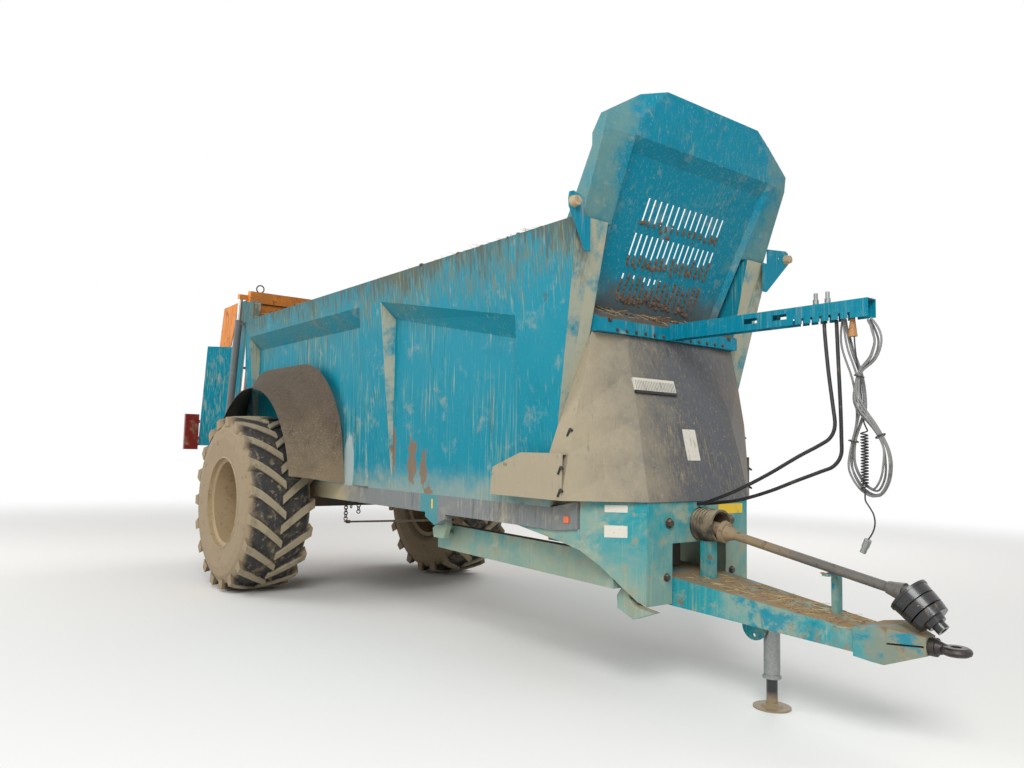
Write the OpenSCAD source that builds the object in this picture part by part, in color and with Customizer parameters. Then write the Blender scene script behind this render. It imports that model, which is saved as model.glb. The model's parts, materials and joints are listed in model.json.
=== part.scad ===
/* [Wheels] */
// Radius of the tyre over its lugs
tyre_r = 900; // [860:5:940]
// Width of the tyre
tyre_w = 680; // [560:10:700]
// Distance between the middles of the two tyres
track = 2440; // [2420:10:2600]
// Radius of the rim at its flange
rim_r = 462; // [430:2:480]
// Height of a tread lug
lug_h = 46; // [25:1:60]
// Lugs on each side of a tyre
lug_count = 19; // [14:1:24]

/* [Body] */
// Length of the load box along its rail
box_l = 5880; // [5600:20:6200]
// Height of the rail over the foot of the side panels
box_h = 1840; // [1760:10:1920]
// Height of the foot of the side panels over the axle
axle_rise = 235; // [225:5:260]
// Distance from the tyre to the foot of the body's rear end
rear_gap = 474; // [440:2:520]
// Half width of the body at its lower edge
sill_y = 830; // [810:2:840]
// Half width of the body over the rails
rail_y = 1000; // [980:2:1020]
// Thickness of a side wall sheet
wall_t = 10; // [6:1:16]
// Width of the rail on top of a side wall
rail_w = 90; // [60:2:110]
// Thickness of the floor
floor_t = 30; // [20:1:40]
// Height of the sill beams
sill_h = 145; // [120:5:160]

/* [Front] */
// Forward lean of the front pillars in degrees
front_lean = 12.5; // [11:0.5:14]
// Height of the top edge of the hood over the rail
hood_h = 850; // [780:5:920]
// Forward lean of the slotted hood panel in degrees
hood_lean = 25.4; // [24:0.2:27]
// Width of one slot
slot_w = 17; // [10:1:24]
// Thickness of the hood sheet
hood_t = 6; // [4:1:10]
// Thickness of the moulded front cover
cover_t = 8; // [5:1:12]

/* [Rear] */
// Forward lean of the gate, pillars and rotors in degrees
rear_lean = 8.7; // [8:0.1:9.4]
// Height of the tops of the rear pillars over the rail
pillar_rise = 215; // [175:5:250]
// Radius of a rotor over its tines
rotor_r = 400; // [370:2:404]
// Radius of a rotor tube
rotor_tube_r = 110; // [90:2:130]
// Turns of the flights on a rotor
flight_turns = 2.5; // [1.5:0.25:3]
// Knives on each flight
knife_count = 11; // [6:1:14]

/* [Drawbar] */
// Distance from the foot of the front pillars to the front plate
plate_gap = 565; // [545:5:585]
// Distance from the front plate to the middle of the towing eye
bar_l = 1610; // [1560:5:1700]
// Height of the middle of the towing eye
eye_z = 550; // [530:5:570]
// Radius of the hole in the towing eye
eye_hole_r = 25.5; // [20:0.5:34]
// Distance from the front plate to the jack
jack_gap = 545; // [500:5:600]
// Outer radius of the jack tube
jack_r = 48; // [44:1:58]
// Radius of the jack leg
leg_r = 33; // [28:1:36]
// Radius of the jack foot
foot_r = 111; // [90:1:130]

/* [Drive] */
// Depth of the middle of the drive under the foot of the side panels
drive_drop = 90; // [84:1:96]
// Radius of the guard round the front joint
guard_r = 105; // [98:1:112]
// Radius of the drive shaft tube
shaft_r = 28; // [24:1:34]
// Radius of the splined hole in the yoke
spline_r = 17.5; // [15:0.5:22.5]

/* [Hose arm] */
// Length of the hose arm from the ledge
arm_l = 1442; // [1300:2:1560]
// Width of the hose arm
arm_w = 90; // [70:2:110]
// Height of the hose arm
arm_h = 105; // [90:1:120]
// Diameter of a hydraulic hose
hose_d = 22; // [18:1:26]

/* [Hidden] */
$fn = 48;
eps = 1;

body_z = tyre_r + axle_rise;
rail_z = body_z + box_h;
hood_z = rail_z + hood_h;
pillar_z = rail_z + pillar_rise;
side_slope = (rail_y - sill_y) / box_h;
function side_y(z) = sill_y + side_slope * (z - body_z);
// Places along the machine at a height: front faces of the front pillars, and the rear end
rear_x = -(tyre_r + rear_gap);
front_x = rear_x + box_l + (tan(rear_lean) - tan(front_lean)) * box_h;
function front_at(z) = front_x + tan(front_lean) * (z - body_z);
function rear_at(z) = rear_x + tan(rear_lean) * (z - body_z);
floor_z = body_z + 155;
sill_z = body_z - sill_h;
sill_w = 70;
eye_r = 75;
eye_t = 42;
eye_x = front_x + plate_gap + bar_l;
lamp_x = rear_x - 655;

rotor_x = -500;
rotor_y = 420;
rotor_foot = 60;
rotor_top = box_h + 60;
disc_r = rotor_r - 4;
disc_t = 14;

// The machine is centred between the towing eye and the rearmost point of the rotor discs
tail_x = rear_x + (rotor_x - disc_r) * cos(rear_lean) + rotor_foot * sin(rear_lean);
x_mid = (eye_x + eye_r + tail_x) / 2;
module place() { translate([-x_mid, 0, 0]) children(); }
module left() { mirror([0, 1, 0]) children(); }
module both() { children(); left() children(); }
// A flat outline in X and Z, as thick as t, whose outer face is at -y
module side_sheet(y, t, pts) {
  translate([0, -y + t, 0]) rotate([90, 0, 0]) linear_extrude(t) polygon(pts);
}
// A flat outline in Y and Z that runs from x along l
module cross_sheet(x, l, pts) {
  translate([x, 0, 0]) rotate([90, 0, 90]) linear_extrude(l) polygon(pts);
}
// A flat outline in X and Y, from z up by h
module plan_sheet(z, h, pts) { translate([0, 0, z]) linear_extrude(h) polygon(pts); }
module block(lo, hi) { translate(lo) cube(hi - lo); }
module cylinder_at(at, h, r) { translate(at) cylinder(h = h, r = r); }
function total(v, i = 0) = i == len(v) - 1 ? v[i] : v[i] + total(v, i + 1);
function loop_normal(l) = total([for (i = [0:len(l) - 1]) cross(l[i] - l[0], l[(i + 1) % len(l)] - l[0])]);
// A closed skin over loops of equal length, from the first loop to the last, with its faces outwards.
// Where an end isn't flat, fan makes its triangles from the first point of the loop
module loft(loops, fan = false) {
  n = len(loops[0]);
  m = len(loops);
  turned = loop_normal(loops[0]) * (total(loops[1]) - total(loops[0])) < 0;
  sides = [for (j = [0:m - 2]) for (i = [0:n - 1]) let(k = (i + 1) % n, a = j * n, b = (j + 1) * n)
    each [[a + i, b + i, b + k], [a + i, b + k, a + k]]];
  ends = fan ? [for (i = [1:n - 2]) each [[0, i, i + 1], [(m - 1) * n, (m - 1) * n + i + 1, (m - 1) * n + i]]]
    : [[for (i = [0:n - 1]) i], [for (i = [n - 1:-1:0]) (m - 1) * n + i]];
  faces = concat(sides, ends);
  polyhedron([for (l = loops) for (p = l) p],
    turned ? [for (f = faces) [for (i = [len(f) - 1:-1:0]) f[i]]] : faces, convexity = 6);
}
// A sheet between two grids of points, rows by columns: its outer face a and its inner face b
module sheet_between(a, b) {
  rows = len(a);
  cols = len(a[0]);
  o = rows * cols;
  cells = [for (j = [0:rows - 2]) for (i = [0:cols - 2]) let(p = j * cols + i)
    each [[p, p + cols, p + 1], [p + 1, p + cols, p + cols + 1]]];
  rim = concat([for (i = [0:cols - 1]) i], [for (j = [1:rows - 1]) j * cols + cols - 1],
    [for (i = [cols - 2:-1:0]) (rows - 1) * cols + i], [for (j = [rows - 2:-1:1]) j * cols]);
  walls = [for (i = [0:len(rim) - 1]) let(p = rim[i], q = rim[(i + 1) % len(rim)])
    each [[p, q, q + o], [p, q + o, p + o]]];
  faces = concat(cells, [for (c = cells) [for (i = [2, 1, 0]) c[i] + o]], walls);
  turned = cross(a[0][1] - a[0][0], a[1][0] - a[0][0]) * (b[0][0] - a[0][0]) > 0;
  polyhedron([for (g = [a, b]) for (r = g) for (p = r) p],
    turned ? [for (f = faces) [f[2], f[1], f[0]]] : faces, convexity = 8);
}
// Parts drawn upright over the rear end's foot are leaned with it
module lean_rear() { translate([rear_x, 0, body_z]) rotate([0, rear_lean, 0]) children(); }

// Side wall: a sheet with a flush foot, leaned pillars and a box rail, with two recessed bays
recess_y = sill_y + 18;
band_z = rail_z - 355;
facet_h = 150;
mid_pillar = [1830, 2225];
front_bay_x = 4110;
band_front_drop = 340;
function recess_at(z) = sill_y + (recess_y - sill_y) * (z - body_z) / (band_z - body_z);
function wall_inner(z) = z <= band_z ? recess_at(z) - wall_t
  : recess_y - wall_t + (rail_y - rail_w - recess_y + wall_t) * (z - band_z) / (rail_z - band_z);
// A bay narrows inwards to the recessed sheet: a top facet, and a chamfer at front and rear
module bay(x0, x1, drop0, drop1, c0, c1) {
  foot = body_z - 150;
  top0 = band_z - drop0;
  top1 = band_z - drop1;
  inner = [[x0 + c0, foot], [x1 - c1, foot], [x1 - c1, top1], [x0 + c0, top0]];
  outer = [[x0, foot], [x1, foot], [x1, top1 + facet_h], [x0, top0 + facet_h]];
  loft([[for (p = outer) [p[0], -side_y(p[1]) - 1, p[1]]],
        [for (p = inner) [p[0], -recess_at(p[1]), p[1]]]]);
}
module side_wall() {
  over = 60;
  difference() {
    cross_sheet(rear_x - over, front_at(rail_z) - rear_x + 2 * over,
      [[-sill_y, body_z], [-rail_y, rail_z], [-(rail_y - rail_w), rail_z],
       [-wall_inner(band_z), band_z], [-wall_inner(body_z), body_z]]);
    bay(rear_at(band_z) + 160, mid_pillar[0], 0, 0, 2, 70);
    bay(mid_pillar[1], front_bay_x, 0, band_front_drop, 50, 60);
    // Cut off along the leaned front pillars and the leaned rear end
    side_sheet(rail_y + over, 500, [[front_at(body_z - over), body_z - over], [front_x + 1500, body_z - over],
      [front_x + 1500, rail_z + over], [front_at(rail_z + over), rail_z + over]]);
    side_sheet(rail_y + over, 500, [[rear_at(body_z - over), body_z - over],
      [rear_at(rail_z + over), rail_z + over], [rear_x - 500, rail_z + over], [rear_x - 500, body_z - over]]);
  }
}
// Curved flare from the rear bay's sheet out to the foot of the mid pillar
flare_h = 655;
module pillar_flare() {
  loft([for (i = [0:6]) let(u = i / 6, z = body_z + 10 + flare_h * u, x = mid_pillar[0])
    [[x - 410 * pow(1 - u, 1.9) - 4, -recess_at(z) + 4, z],
     [x, -side_y(z) - 26 * pow(1 - u, 1.5), z], [x + 20, -side_y(z) + 1, z], [x, -recess_at(z) + 4, z]]]);
}
module flared_wall() {
  side_wall();
  pillar_flare();
}
module side_wall_right() { color("darkturquoise") place() flared_wall(); }
module side_wall_left() { color("darkturquoise") place() left() flared_wall(); }

// Front wall: a leaned sheet between two deep pillars, up to the hood
pillar_d = 206;
pillar_y = 733;
front_t = 12;
ledge_z = rail_z - 685;
ledge_top_z = rail_z - 485;
function wall_x(z) = front_at(z) - pillar_d;
module front_wall() {
  color("darkturquoise")
  place() {
    side_sheet(pillar_y, 2 * pillar_y, [[wall_x(body_z), body_z], [wall_x(ledge_top_z), ledge_top_z],
      [wall_x(ledge_top_z) + front_t, ledge_top_z], [wall_x(body_z) + front_t, body_z]]);
    both() intersection() {
      side_sheet(rail_y, rail_y - pillar_y, [[wall_x(body_z), body_z], [wall_x(rail_z), rail_z],
        [front_at(rail_z), rail_z], [front_at(body_z), body_z]]);
      cross_sheet(front_x - 400, 1000, [[-wall_inner(body_z), body_z], [-wall_inner(band_z), band_z],
        [-(rail_y - rail_w), rail_z], [0, rail_z], [0, body_z]]);
    }
  }
}

// Floor of the load box, between the walls
floor_front_x = wall_x(floor_z - floor_t) - 2;
floor_rear_x = rear_at(floor_z) + 12;
module floor() {
  color("saddlebrown")
  place()
    block([floor_rear_x, -(sill_y - wall_t), floor_z - floor_t], [floor_front_x, sill_y - wall_t, floor_z]);
}

// Chain floor: endless chains with slats, an upper run on the floor and a lower run under it
chain_y = 380;
chain_w = 44;
chain_h = 24;
slat_pitch = 350;
slat_h = 34;
slat_w = 50;
slat_y = sill_y - 70;
run_front_x = floor_front_x - 70;
run_rear_x = floor_rear_x + 40;
run_low_z = floor_z - floor_t - 75;
module floor_chains() {
  slats = floor((run_front_x - run_rear_x - 160) / slat_pitch);
  color("dimgray")
  place() for (z = [floor_z + 1, run_low_z]) {
    for (y = [-chain_y, chain_y])
      block([run_rear_x, y - chain_w / 2, z], [run_front_x, y + chain_w / 2, z + chain_h]);
    for (i = [0:slats]) let(x = run_rear_x + 80 + i * slat_pitch)
      block([x, -slat_y, z], [x + slat_w, slat_y, z + slat_h]);
  }
}

// Hood: a slotted panel leaned forward, with angled cheeks, a chamfered top and return flanges
hood_foot_x = wall_x(ledge_top_z) + front_t + 5;
hood_fold_z = rail_z + 520;
cheek_z = rail_z + 630;
top_lean = 0.153;
recess_d = 42;
recess_h = 80;
// Depth of the slotted panel behind its frame, which ends in a chamfer under the fold
function recess(z) = recess_d * min(1, max(0, (hood_fold_z - z) / recess_h));
function hood_at(z) = hood_foot_x + tan(hood_lean) * (min(z, hood_fold_z) - ledge_top_z)
  + recess_d - recess(z) + top_lean * max(z - hood_fold_z, 0);
// Slot rows: height of the foot over the rail, upright height, slots, pitch
slot_rows = [[-400, 152, 16, 53], [-170, 178, 16, 54], [75, 150, 14, 59.5]];
function fold_at(z) = 626 + 61 * (z - ledge_top_z) / (hood_fold_z - ledge_top_z);
// Rows: height, half width at the fold, half width and setback of the cheek's edge, depth of its flange,
// and how far the edge lies below the row
hood_rows = [
  [ledge_top_z, fold_at(ledge_top_z), pillar_y - 3, 12, 50, 0],
  [rail_z, fold_at(rail_z), pillar_y - 3, 30, 50, 0],
  [rail_z + 4, fold_at(rail_z + 4), 945, -52, 160, 0],
  [rail_z + 215, fold_at(rail_z + 215), 945, -28, 120, 0],
  [hood_fold_z - recess_h, fold_at(hood_fold_z - recess_h), 946, -4, 82, 0],
  [hood_fold_z, fold_at(hood_fold_z), 946, 46, 112, 0],
  [cheek_z, 656, 940, 46, 58, 0],
  [hood_z, 449, 680, 52, 0, 55]];
module hood_sheet() {
  function edge(r, s, back) = [hood_at(r[0]) - r[3] - back, s * r[2], r[0] - r[5]];
  function fold(r, s, wide, back) =
    [hood_at(r[0]) + (wide > 0 ? recess(r[0]) : 0) - back, s * (r[1] + wide), r[0]];
  function row(r, back) = [edge(r, -1, back), fold(r, -1, 30, back), fold(r, -1, -5, back),
    fold(r, 1, -5, back), fold(r, 1, 30, back), edge(r, 1, back)];
  sheet_between([for (r = hood_rows) row(r, 0)], [for (r = hood_rows) row(r, hood_t)]);
  // Return flange behind each cheek's edge, over the rail
  over_rail = [for (i = [2:6]) hood_rows[i]];
  for (s = [-1, 1])
    sheet_between([for (r = over_rail) [edge(r, s, 1) - [0, s / 2, 0], edge(r, s, r[4]) - [0, s / 2, 0]]],
      [for (r = over_rail) [edge(r, s, 1) - [0, s * hood_t, 0], edge(r, s, r[4]) - [0, s * hood_t, 0]]]);
}
module hood() {
  color("darkturquoise")
  place() difference() {
    hood_sheet();
    for (row = slot_rows) let(z = rail_z + row[0]) for (i = [0:row[2] - 1])
      translate([hood_at(z), (i - (row[2] - 1) / 2) * row[3], z]) rotate([0, hood_lean, 0])
        translate([-30, -slot_w / 2, 0]) cube([60, slot_w, row[1] / cos(hood_lean)]);
  }
}

// Ledge under the hood, with a sloped top, which carries the hose arm
ledge_y = 722;
ledge_front_x = front_at(ledge_z) + 64;
module hood_ledge() {
  back = front_t + 0.5;
  color("darkturquoise")
  place() side_sheet(ledge_y, 2 * ledge_y, [[wall_x(ledge_z) + back, ledge_z], [ledge_front_x, ledge_z],
    [ledge_front_x, ledge_z + 87], [wall_x(ledge_top_z) + front_t + 10, ledge_top_z - 1],
    [wall_x(ledge_top_z - 1) + back, ledge_top_z - 1]]);
}

// Dark moulded cover in front of the front wall, with a box at each side
cover_low_z = body_z + 60;
cover_box_y = 962;
// Rows: height over the lower edge, half width and place of the edge, half width and place of the fold,
// with both places from the front pillars' foot
cover_rows = [
  [0, 960, 256, 511, 577],
  [295, 915, 268, 500, 510],
  [535, 868, 279, 480, 450],
  [855, 785, 276, 450, 350],
  [ledge_z - 4 - cover_low_z, 725, 260, 430, 288]];
function cover_loop(r, d) =
  let(z = cover_low_z + r[0], x = front_at(z) + 2, edge = front_x + r[2], fold = front_x + r[4] - d)
  [[x, -(r[1] - d), z], [edge, -(r[1] - d), z], [fold, -(r[3] - d / 2), z],
   [fold, r[3] - d / 2, z], [edge, r[1] - d, z], [x, r[1] - d, z]];
function moved(loop, v) = [for (p = loop) p + v];
// Outline of a side box, from the front pillars' foot and the cover's lower edge
side_box = [[-493, 0], [-469, 190], [-164, 295], [256, 295], [256, 0]];
module front_cover() {
  inner = [for (r = cover_rows) cover_loop(r, cover_t)];
  last = len(cover_rows) - 1;
  function box_at(dx0, dx1, dz0, dz1) = [for (p = side_box)
    [front_x + p[0] + (p[0] < 100 ? dx0 : dx1), cover_low_z + p[1] + (p[1] < 100 ? dz0 : dz1)]];
  color("dimgray")
  place() {
    difference() {
      loft([for (r = cover_rows) cover_loop(r, 0)]);
      loft([for (j = [0:last])
        moved(inner[j], [-cover_t, 0, j == 0 ? -20 : j == last ? -cover_t : 0])]);
      block([front_x - 60, -1100, body_z - 35], [front_at(cover_low_z) + 60, 1100, cover_low_z + 505]);
    }
    both() difference() {
      side_sheet(cover_box_y, cover_box_y - side_y(cover_low_z + 295) - 4, box_at(0, 0, 0, 0));
      side_sheet(cover_box_y - cover_t, cover_box_y - sill_y, box_at(cover_t, 20, -20, -cover_t));
    }
  }
}

// Ears at the front corners of the rail, and their lamps
ear_x = front_at(rail_z) + 10;
ear_t = 8;
// Reach of the ear on the right, which is bent in, and of the ear on the left
ear_out = [1090, 1240];
module ear(out) {
  difference() {
    cross_sheet(ear_x, ear_t, [[-960, rail_z + 115], [-(out - 40), rail_z + 140], [-(out - 8), rail_z + 128],
      [-out, rail_z + 90], [-(out - 4), rail_z + 40], [-950, rail_z - 220], [-905, rail_z - 220],
      [-905, rail_z + 2], [-960, rail_z + 2]]);
    translate([ear_x - 20, -(out - 130), rail_z + 70]) rotate([0, 90, 0]) cylinder(h = 60, r = 9);
  }
}
module lamp(out) {
  translate([ear_x + ear_t, -(out - 40), rail_z + 70]) rotate([0, 90, 0]) cylinder(h = 42, r1 = 38, r2 = 30);
}
module marker_brackets() { color("darkturquoise") place() { ear(ear_out[0]); left() ear(ear_out[1]); } }
module marker_lamps() { color("tan") place() { lamp(ear_out[0]); left() lamp(ear_out[1]); } }

// Sill beams under the side panels, with a bracket for the spring arm
bracket_x = [front_x - 1550, front_x - 1260];
module sill() {
  side_sheet(sill_y, sill_w, [[rear_at(sill_z) + 40, sill_z], [rear_at(body_z) + 40, body_z],
    [front_x + 4, body_z], [front_x + 260, body_z + 50], [front_x + 260, sill_z + 25],
    [front_x + 60, sill_z]]);
  side_sheet(sill_y, sill_w, [[bracket_x[0], sill_z], [bracket_x[1], sill_z], [bracket_x[1], sill_z - 35],
    [(bracket_x[0] + bracket_x[1]) / 2, sill_z - 95], [bracket_x[0], sill_z - 35]]);
}
module sills() { color("slategray") place() both() sill(); }

// Cross members between the sills, under the lower run of the chain floor
member_pitch = 700;
member_y = sill_y - sill_w;
member_h = 60;
module cross_members() {
  n = floor((front_x - rear_x - 500) / member_pitch);
  color("darkturquoise")
  place() for (i = [0:n]) let(x = rear_x + 250 + i * member_pitch)
    block([x, -member_y, sill_z], [x + 60, member_y, sill_z + member_h]);
}

// Cheeks and front plate that carry the drawbar
drive_z = body_z - drive_drop;
plate_x = front_x + plate_gap;
plate_y = 505;
plate_t = 12;
plate_back_x = plate_x - plate_t;
plate_top_z = cover_low_z - 3;
slot_y = 275;
cheek_foot_z = eye_z;
cheek_x = front_x + 270;
cheek_y = 812;
module drawbar_cheeks() {
  color("darkturquoise")
  place() {
    // Front plate, open below for the drawbar and round the drive guard
    difference() {
      cross_sheet(plate_back_x, plate_t, [[-plate_y, cheek_foot_z], [-plate_y, plate_top_z],
        [plate_y, plate_top_z], [plate_y, cheek_foot_z],
        [slot_y, cheek_foot_z], [slot_y, drive_z - 115], [-slot_y, drive_z - 115], [-slot_y, cheek_foot_z]]);
      translate([plate_x - 50, 0, drive_z]) rotate([0, 90, 0]) cylinder(h = 100, r = guard_r + 4);
    }
    both() {
      // Slanted cheek with the long curved lower edge
      intersection() {
        plan_sheet(cheek_foot_z - 50, 2 * plate_top_z, [[cheek_x, -cheek_y], [plate_back_x + 1, -plate_y],
          [plate_back_x + 1, -plate_y + 16], [cheek_x, -cheek_y + 16]]);
        side_sheet(cheek_y, cheek_y, [[cheek_x, body_z - 250], [cheek_x, plate_top_z - 2],
          [plate_x, plate_top_z - 2], [plate_x, cheek_foot_z], [plate_x - 45, cheek_foot_z + 25],
          [plate_x - 110, cheek_foot_z + 110], [plate_x - 205, cheek_foot_z + 240]]);
      }
      // Longitudinal web that carries the drawbar pivot
      side_sheet(slot_y + 40, 15, [[front_x - 780, sill_z - 60], [front_x - 780, sill_z], [cheek_x, sill_z],
        [plate_back_x + 1, drive_z - 115], [plate_back_x + 1, cheek_foot_z], [cheek_x + 50, cheek_foot_z],
        [front_x - 80, sill_z - 190]]);
      // Rear gusset under the sill
      side_sheet(cheek_y + 2, 16, [[front_x - 380, sill_z], [front_x + 60, sill_z],
        [front_x + 260, sill_z + 25], [cheek_x + 2, sill_z + 25], [cheek_x + 2, body_z - 250],
        [front_x + 120, body_z - 220]]);
    }
  }
}

// Spring arms under the body, with their hangers and the hooked shackles at the front
arm_y = 640;
arm_low_z = tyre_r - 210;
arm_t = 80;
module spring_arms() {
  x = bracket_x[0];
  shackle = [[-210, 50], [-155, 120], [-110, 105], [-105, 50], [-60, 10], [-12, -3], [105, -15], [-65, -80],
    [-205, -30]];
  color("darkturquoise")
  place() both() {
    side_sheet(arm_y, arm_t, [[x - 90, arm_low_z], [x - 90, arm_low_z + 195], [x + 170, arm_low_z + 195],
      [cheek_x + 130, arm_low_z + 172], [cheek_x + 130, arm_low_z - 40]]);
    // Rear hanger up to the sill
    side_sheet(sill_y - sill_w, sill_w - 25, [[x + 10, arm_low_z + 170], [x + 70, sill_z - 100],
      [x + 70, sill_z + 50], [x + 220, sill_z + 50], [x + 220, sill_z - 100], [x + 170, arm_low_z + 100],
      [x + 30, arm_low_z + 100]]);
    translate([x + 110, -(arm_y - 30), arm_low_z + 130]) rotate([90, 0, 0])
      cylinder(h = sill_y - sill_w - arm_y + 20, r = 28);
    side_sheet(arm_y - arm_t, 60, [for (p = shackle) [plate_x + p[0], cheek_foot_z + p[1]]]);
    // Cross pin that holds the shackle on the web
    translate([plate_x - 150, -(arm_y - arm_t - 50), cheek_foot_z + 30]) rotate([-90, 0, 0])
      cylinder(h = arm_y - arm_t - 50 - slot_y - 40, r = 22);
  }
}

// Drawbar: a tapered box beam with a head collar and a nose
head_x = eye_x - 292;
nose_x = eye_x - 125;
jack_x = plate_x + jack_gap;
bar_front_x = head_x - 163;
jack_top_z = eye_z + 90;
// Rows: place, half width, foot and top from the eye's height
drawbar_rows = [[front_x + 170, 270, 10, 190], [plate_x, 268, -14, 163], [bar_front_x, 150, -79, 39]];
head_rows = [[bar_front_x, 165, -95, 55], [head_x - 60, 165, -105, 75], [head_x, 155, -110, 80],
  [nose_x, 52, -46, 48]];
function bar_loop(r) = [for (c = [[-1, 2], [1, 2], [1, 3], [-1, 3]]) [r[0], c[0] * r[1], eye_z + r[c[1]]]];
module drawbar() {
  post_x = jack_x + 355;
  post_z = shaft_z(post_x + 40) - shaft_r / sin(shaft_tilt) - 3;
  color("darkturquoise")
  place() {
    difference() {
      union() {
        loft([for (r = drawbar_rows) bar_loop(r)]);
        loft([for (r = head_rows) bar_loop(r)]);
      }
      // Well for the jack tube
      cylinder_at([jack_x, 0, 0], jack_top_z + 1, jack_r + 1);
      // Split along the middle of the nose
      block([head_x + 10, -200, eye_z - 5], [nose_x - 8, 200, eye_z + 5]);
    }
    // Cradle post for the drive shaft
    block([post_x, 60, eye_z + 38], [post_x + 40, 110, post_z]);
    block([post_x, -shaft_r - 10, post_z - 15], [post_x + 40, 110, post_z]);
    // Bracket plates with a hole in front of the jack
    for (y = [-jack_r - 20, jack_r + 20]) difference() {
      translate([jack_x - 75, y - 6, eye_z - 75]) rotate([-90, 0, 0]) cylinder(h = 12, r = 85);
      translate([jack_x - 75, y - 10, eye_z - 130]) rotate([-90, 0, 0]) cylinder(h = 20, r = 12);
    }
    // Post that holds the drive guard
    block([plate_x + 30, -35, eye_z + 140], [plate_x + 110, 35, drive_z - guard_r - 0.5]);
  }
}
module towing_eye() {
  half = eye_t / 2;
  color("dimgray")
  place() {
    translate([eye_x, 0, eye_z]) rotate_extrude() polygon([[eye_hole_r, -half], [eye_r - 18, -half],
      [eye_r - 5, -half + 8], [eye_r, 0], [eye_r - 5, half - 8], [eye_r - 18, half], [eye_hole_r, half]]);
    intersection() {
      union() {
        translate([nose_x, 0, eye_z]) rotate([0, 90, 0]) cylinder(h = 34, r = 48);
        translate([nose_x + 30, 0, eye_z]) rotate([0, 90, 0]) cylinder(h = 60, r1 = 40, r2 = 21);
      }
      difference() {
        block([nose_x, -100, eye_z - 100], [eye_x, 100, eye_z + 100]);
        translate([eye_x, 0, 0]) cylinder(h = 2 * eye_z, r = eye_hole_r + 14);
      }
    }
  }
}

// Jack: a tube in the drawbar, and a leg that slides in it
jack_low_z = 175;
leg_fit = 0.05;
module jack_tube() {
  color("silver")
  place() difference() {
    union() {
      cylinder_at([jack_x, 0, jack_low_z], jack_top_z - jack_low_z, jack_r);
      // Collar at the tube's foot
      cylinder_at([jack_x, 0, jack_low_z], 22, jack_r + 7);
    }
    cylinder_at([jack_x, 0, jack_low_z - eps], 420, leg_r + leg_fit);
  }
}
module jack_leg() {
  color("dimgray")
  place() translate([jack_x, 0, 0]) {
    // Dished foot plate
    cylinder(h = 10, r = foot_r);
    translate([0, 0, 10]) cylinder(h = 12, r1 = foot_r * 0.62, r2 = foot_r * 0.5);
    translate([0, 0, 20]) cylinder(h = 10, r1 = leg_r + 14, r2 = leg_r);
    translate([0, 0, 28]) cylinder(h = 412, r = leg_r);
  }
}

// Axle: a square beam with brackets up to the sills and a stub at each end
axle_half = 65;
stub_r = 45;
hub_in_y = track / 2 - 120;
stub_end_y = track / 2 + 28;
module axle_beam() {
  color("dimgray")
  place() {
    block([-axle_half, -(hub_in_y - 60), tyre_r - axle_half], [axle_half, hub_in_y - 60, tyre_r + axle_half]);
    both() {
      translate([0, -(hub_in_y - 61), tyre_r]) rotate([90, 0, 0])
        cylinder(h = stub_end_y - hub_in_y + 61, r = stub_r);
      block([-150, -(sill_y - 2), tyre_r + axle_half], [150, -(sill_y - sill_w), sill_z]);
    }
  }
}

// Wheels, about their own axis: Y is the axle, and the outer side is at -Y
module wheel_place(s) {
  place() translate([0, s * track / 2, tyre_r]) mirror([0, s > 0 ? 1 : 0, 0]) rotate([90, 0, 0]) children();
}
hub_gap = 0.05;
nut_count = 10;
module wheel_hub() {
  difference() {
    union() {
      translate([0, 0, -100]) cylinder(h = 150, r = 120);
      translate([0, 0, -175]) cylinder(h = 75, r = 230);
      translate([0, 0, 50]) cylinder(h = 60, r1 = 85, r2 = 70);
    }
    translate([0, 0, -200]) cylinder(h = 230, r = stub_r + hub_gap);
  }
}
rim_t = 14;
dish_r = 150;
module rim() {
  half = tyre_w / 2;
  seat = rim_r - 32;
  rotate_extrude() polygon([
    [121, -100], [300, -100], [340, -60], [seat - rim_t, -60], [seat - rim_t, -(half - 80)],
    [rim_r - rim_t, -(half - 68)], [rim_r, -(half - 60)], [rim_r, -(half - 74)], [seat, -(half - 90)],
    [seat, half - 90], [rim_r, half - 74], [rim_r + 6, half - 26], [rim_r - 8, half - 22],
    [rim_r - rim_t, half - 62], [seat - rim_t, half - 80], [seat - rim_t, -40], [340, -40], [300, -84],
    [121, -84]]);
  // Wheel nuts
  for (i = [0:nut_count - 1]) rotate([0, 0, i * 360 / nut_count]) translate([dish_r, 0, -85])
    cylinder(h = 26, r = 15, $fn = 6);
}
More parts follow.
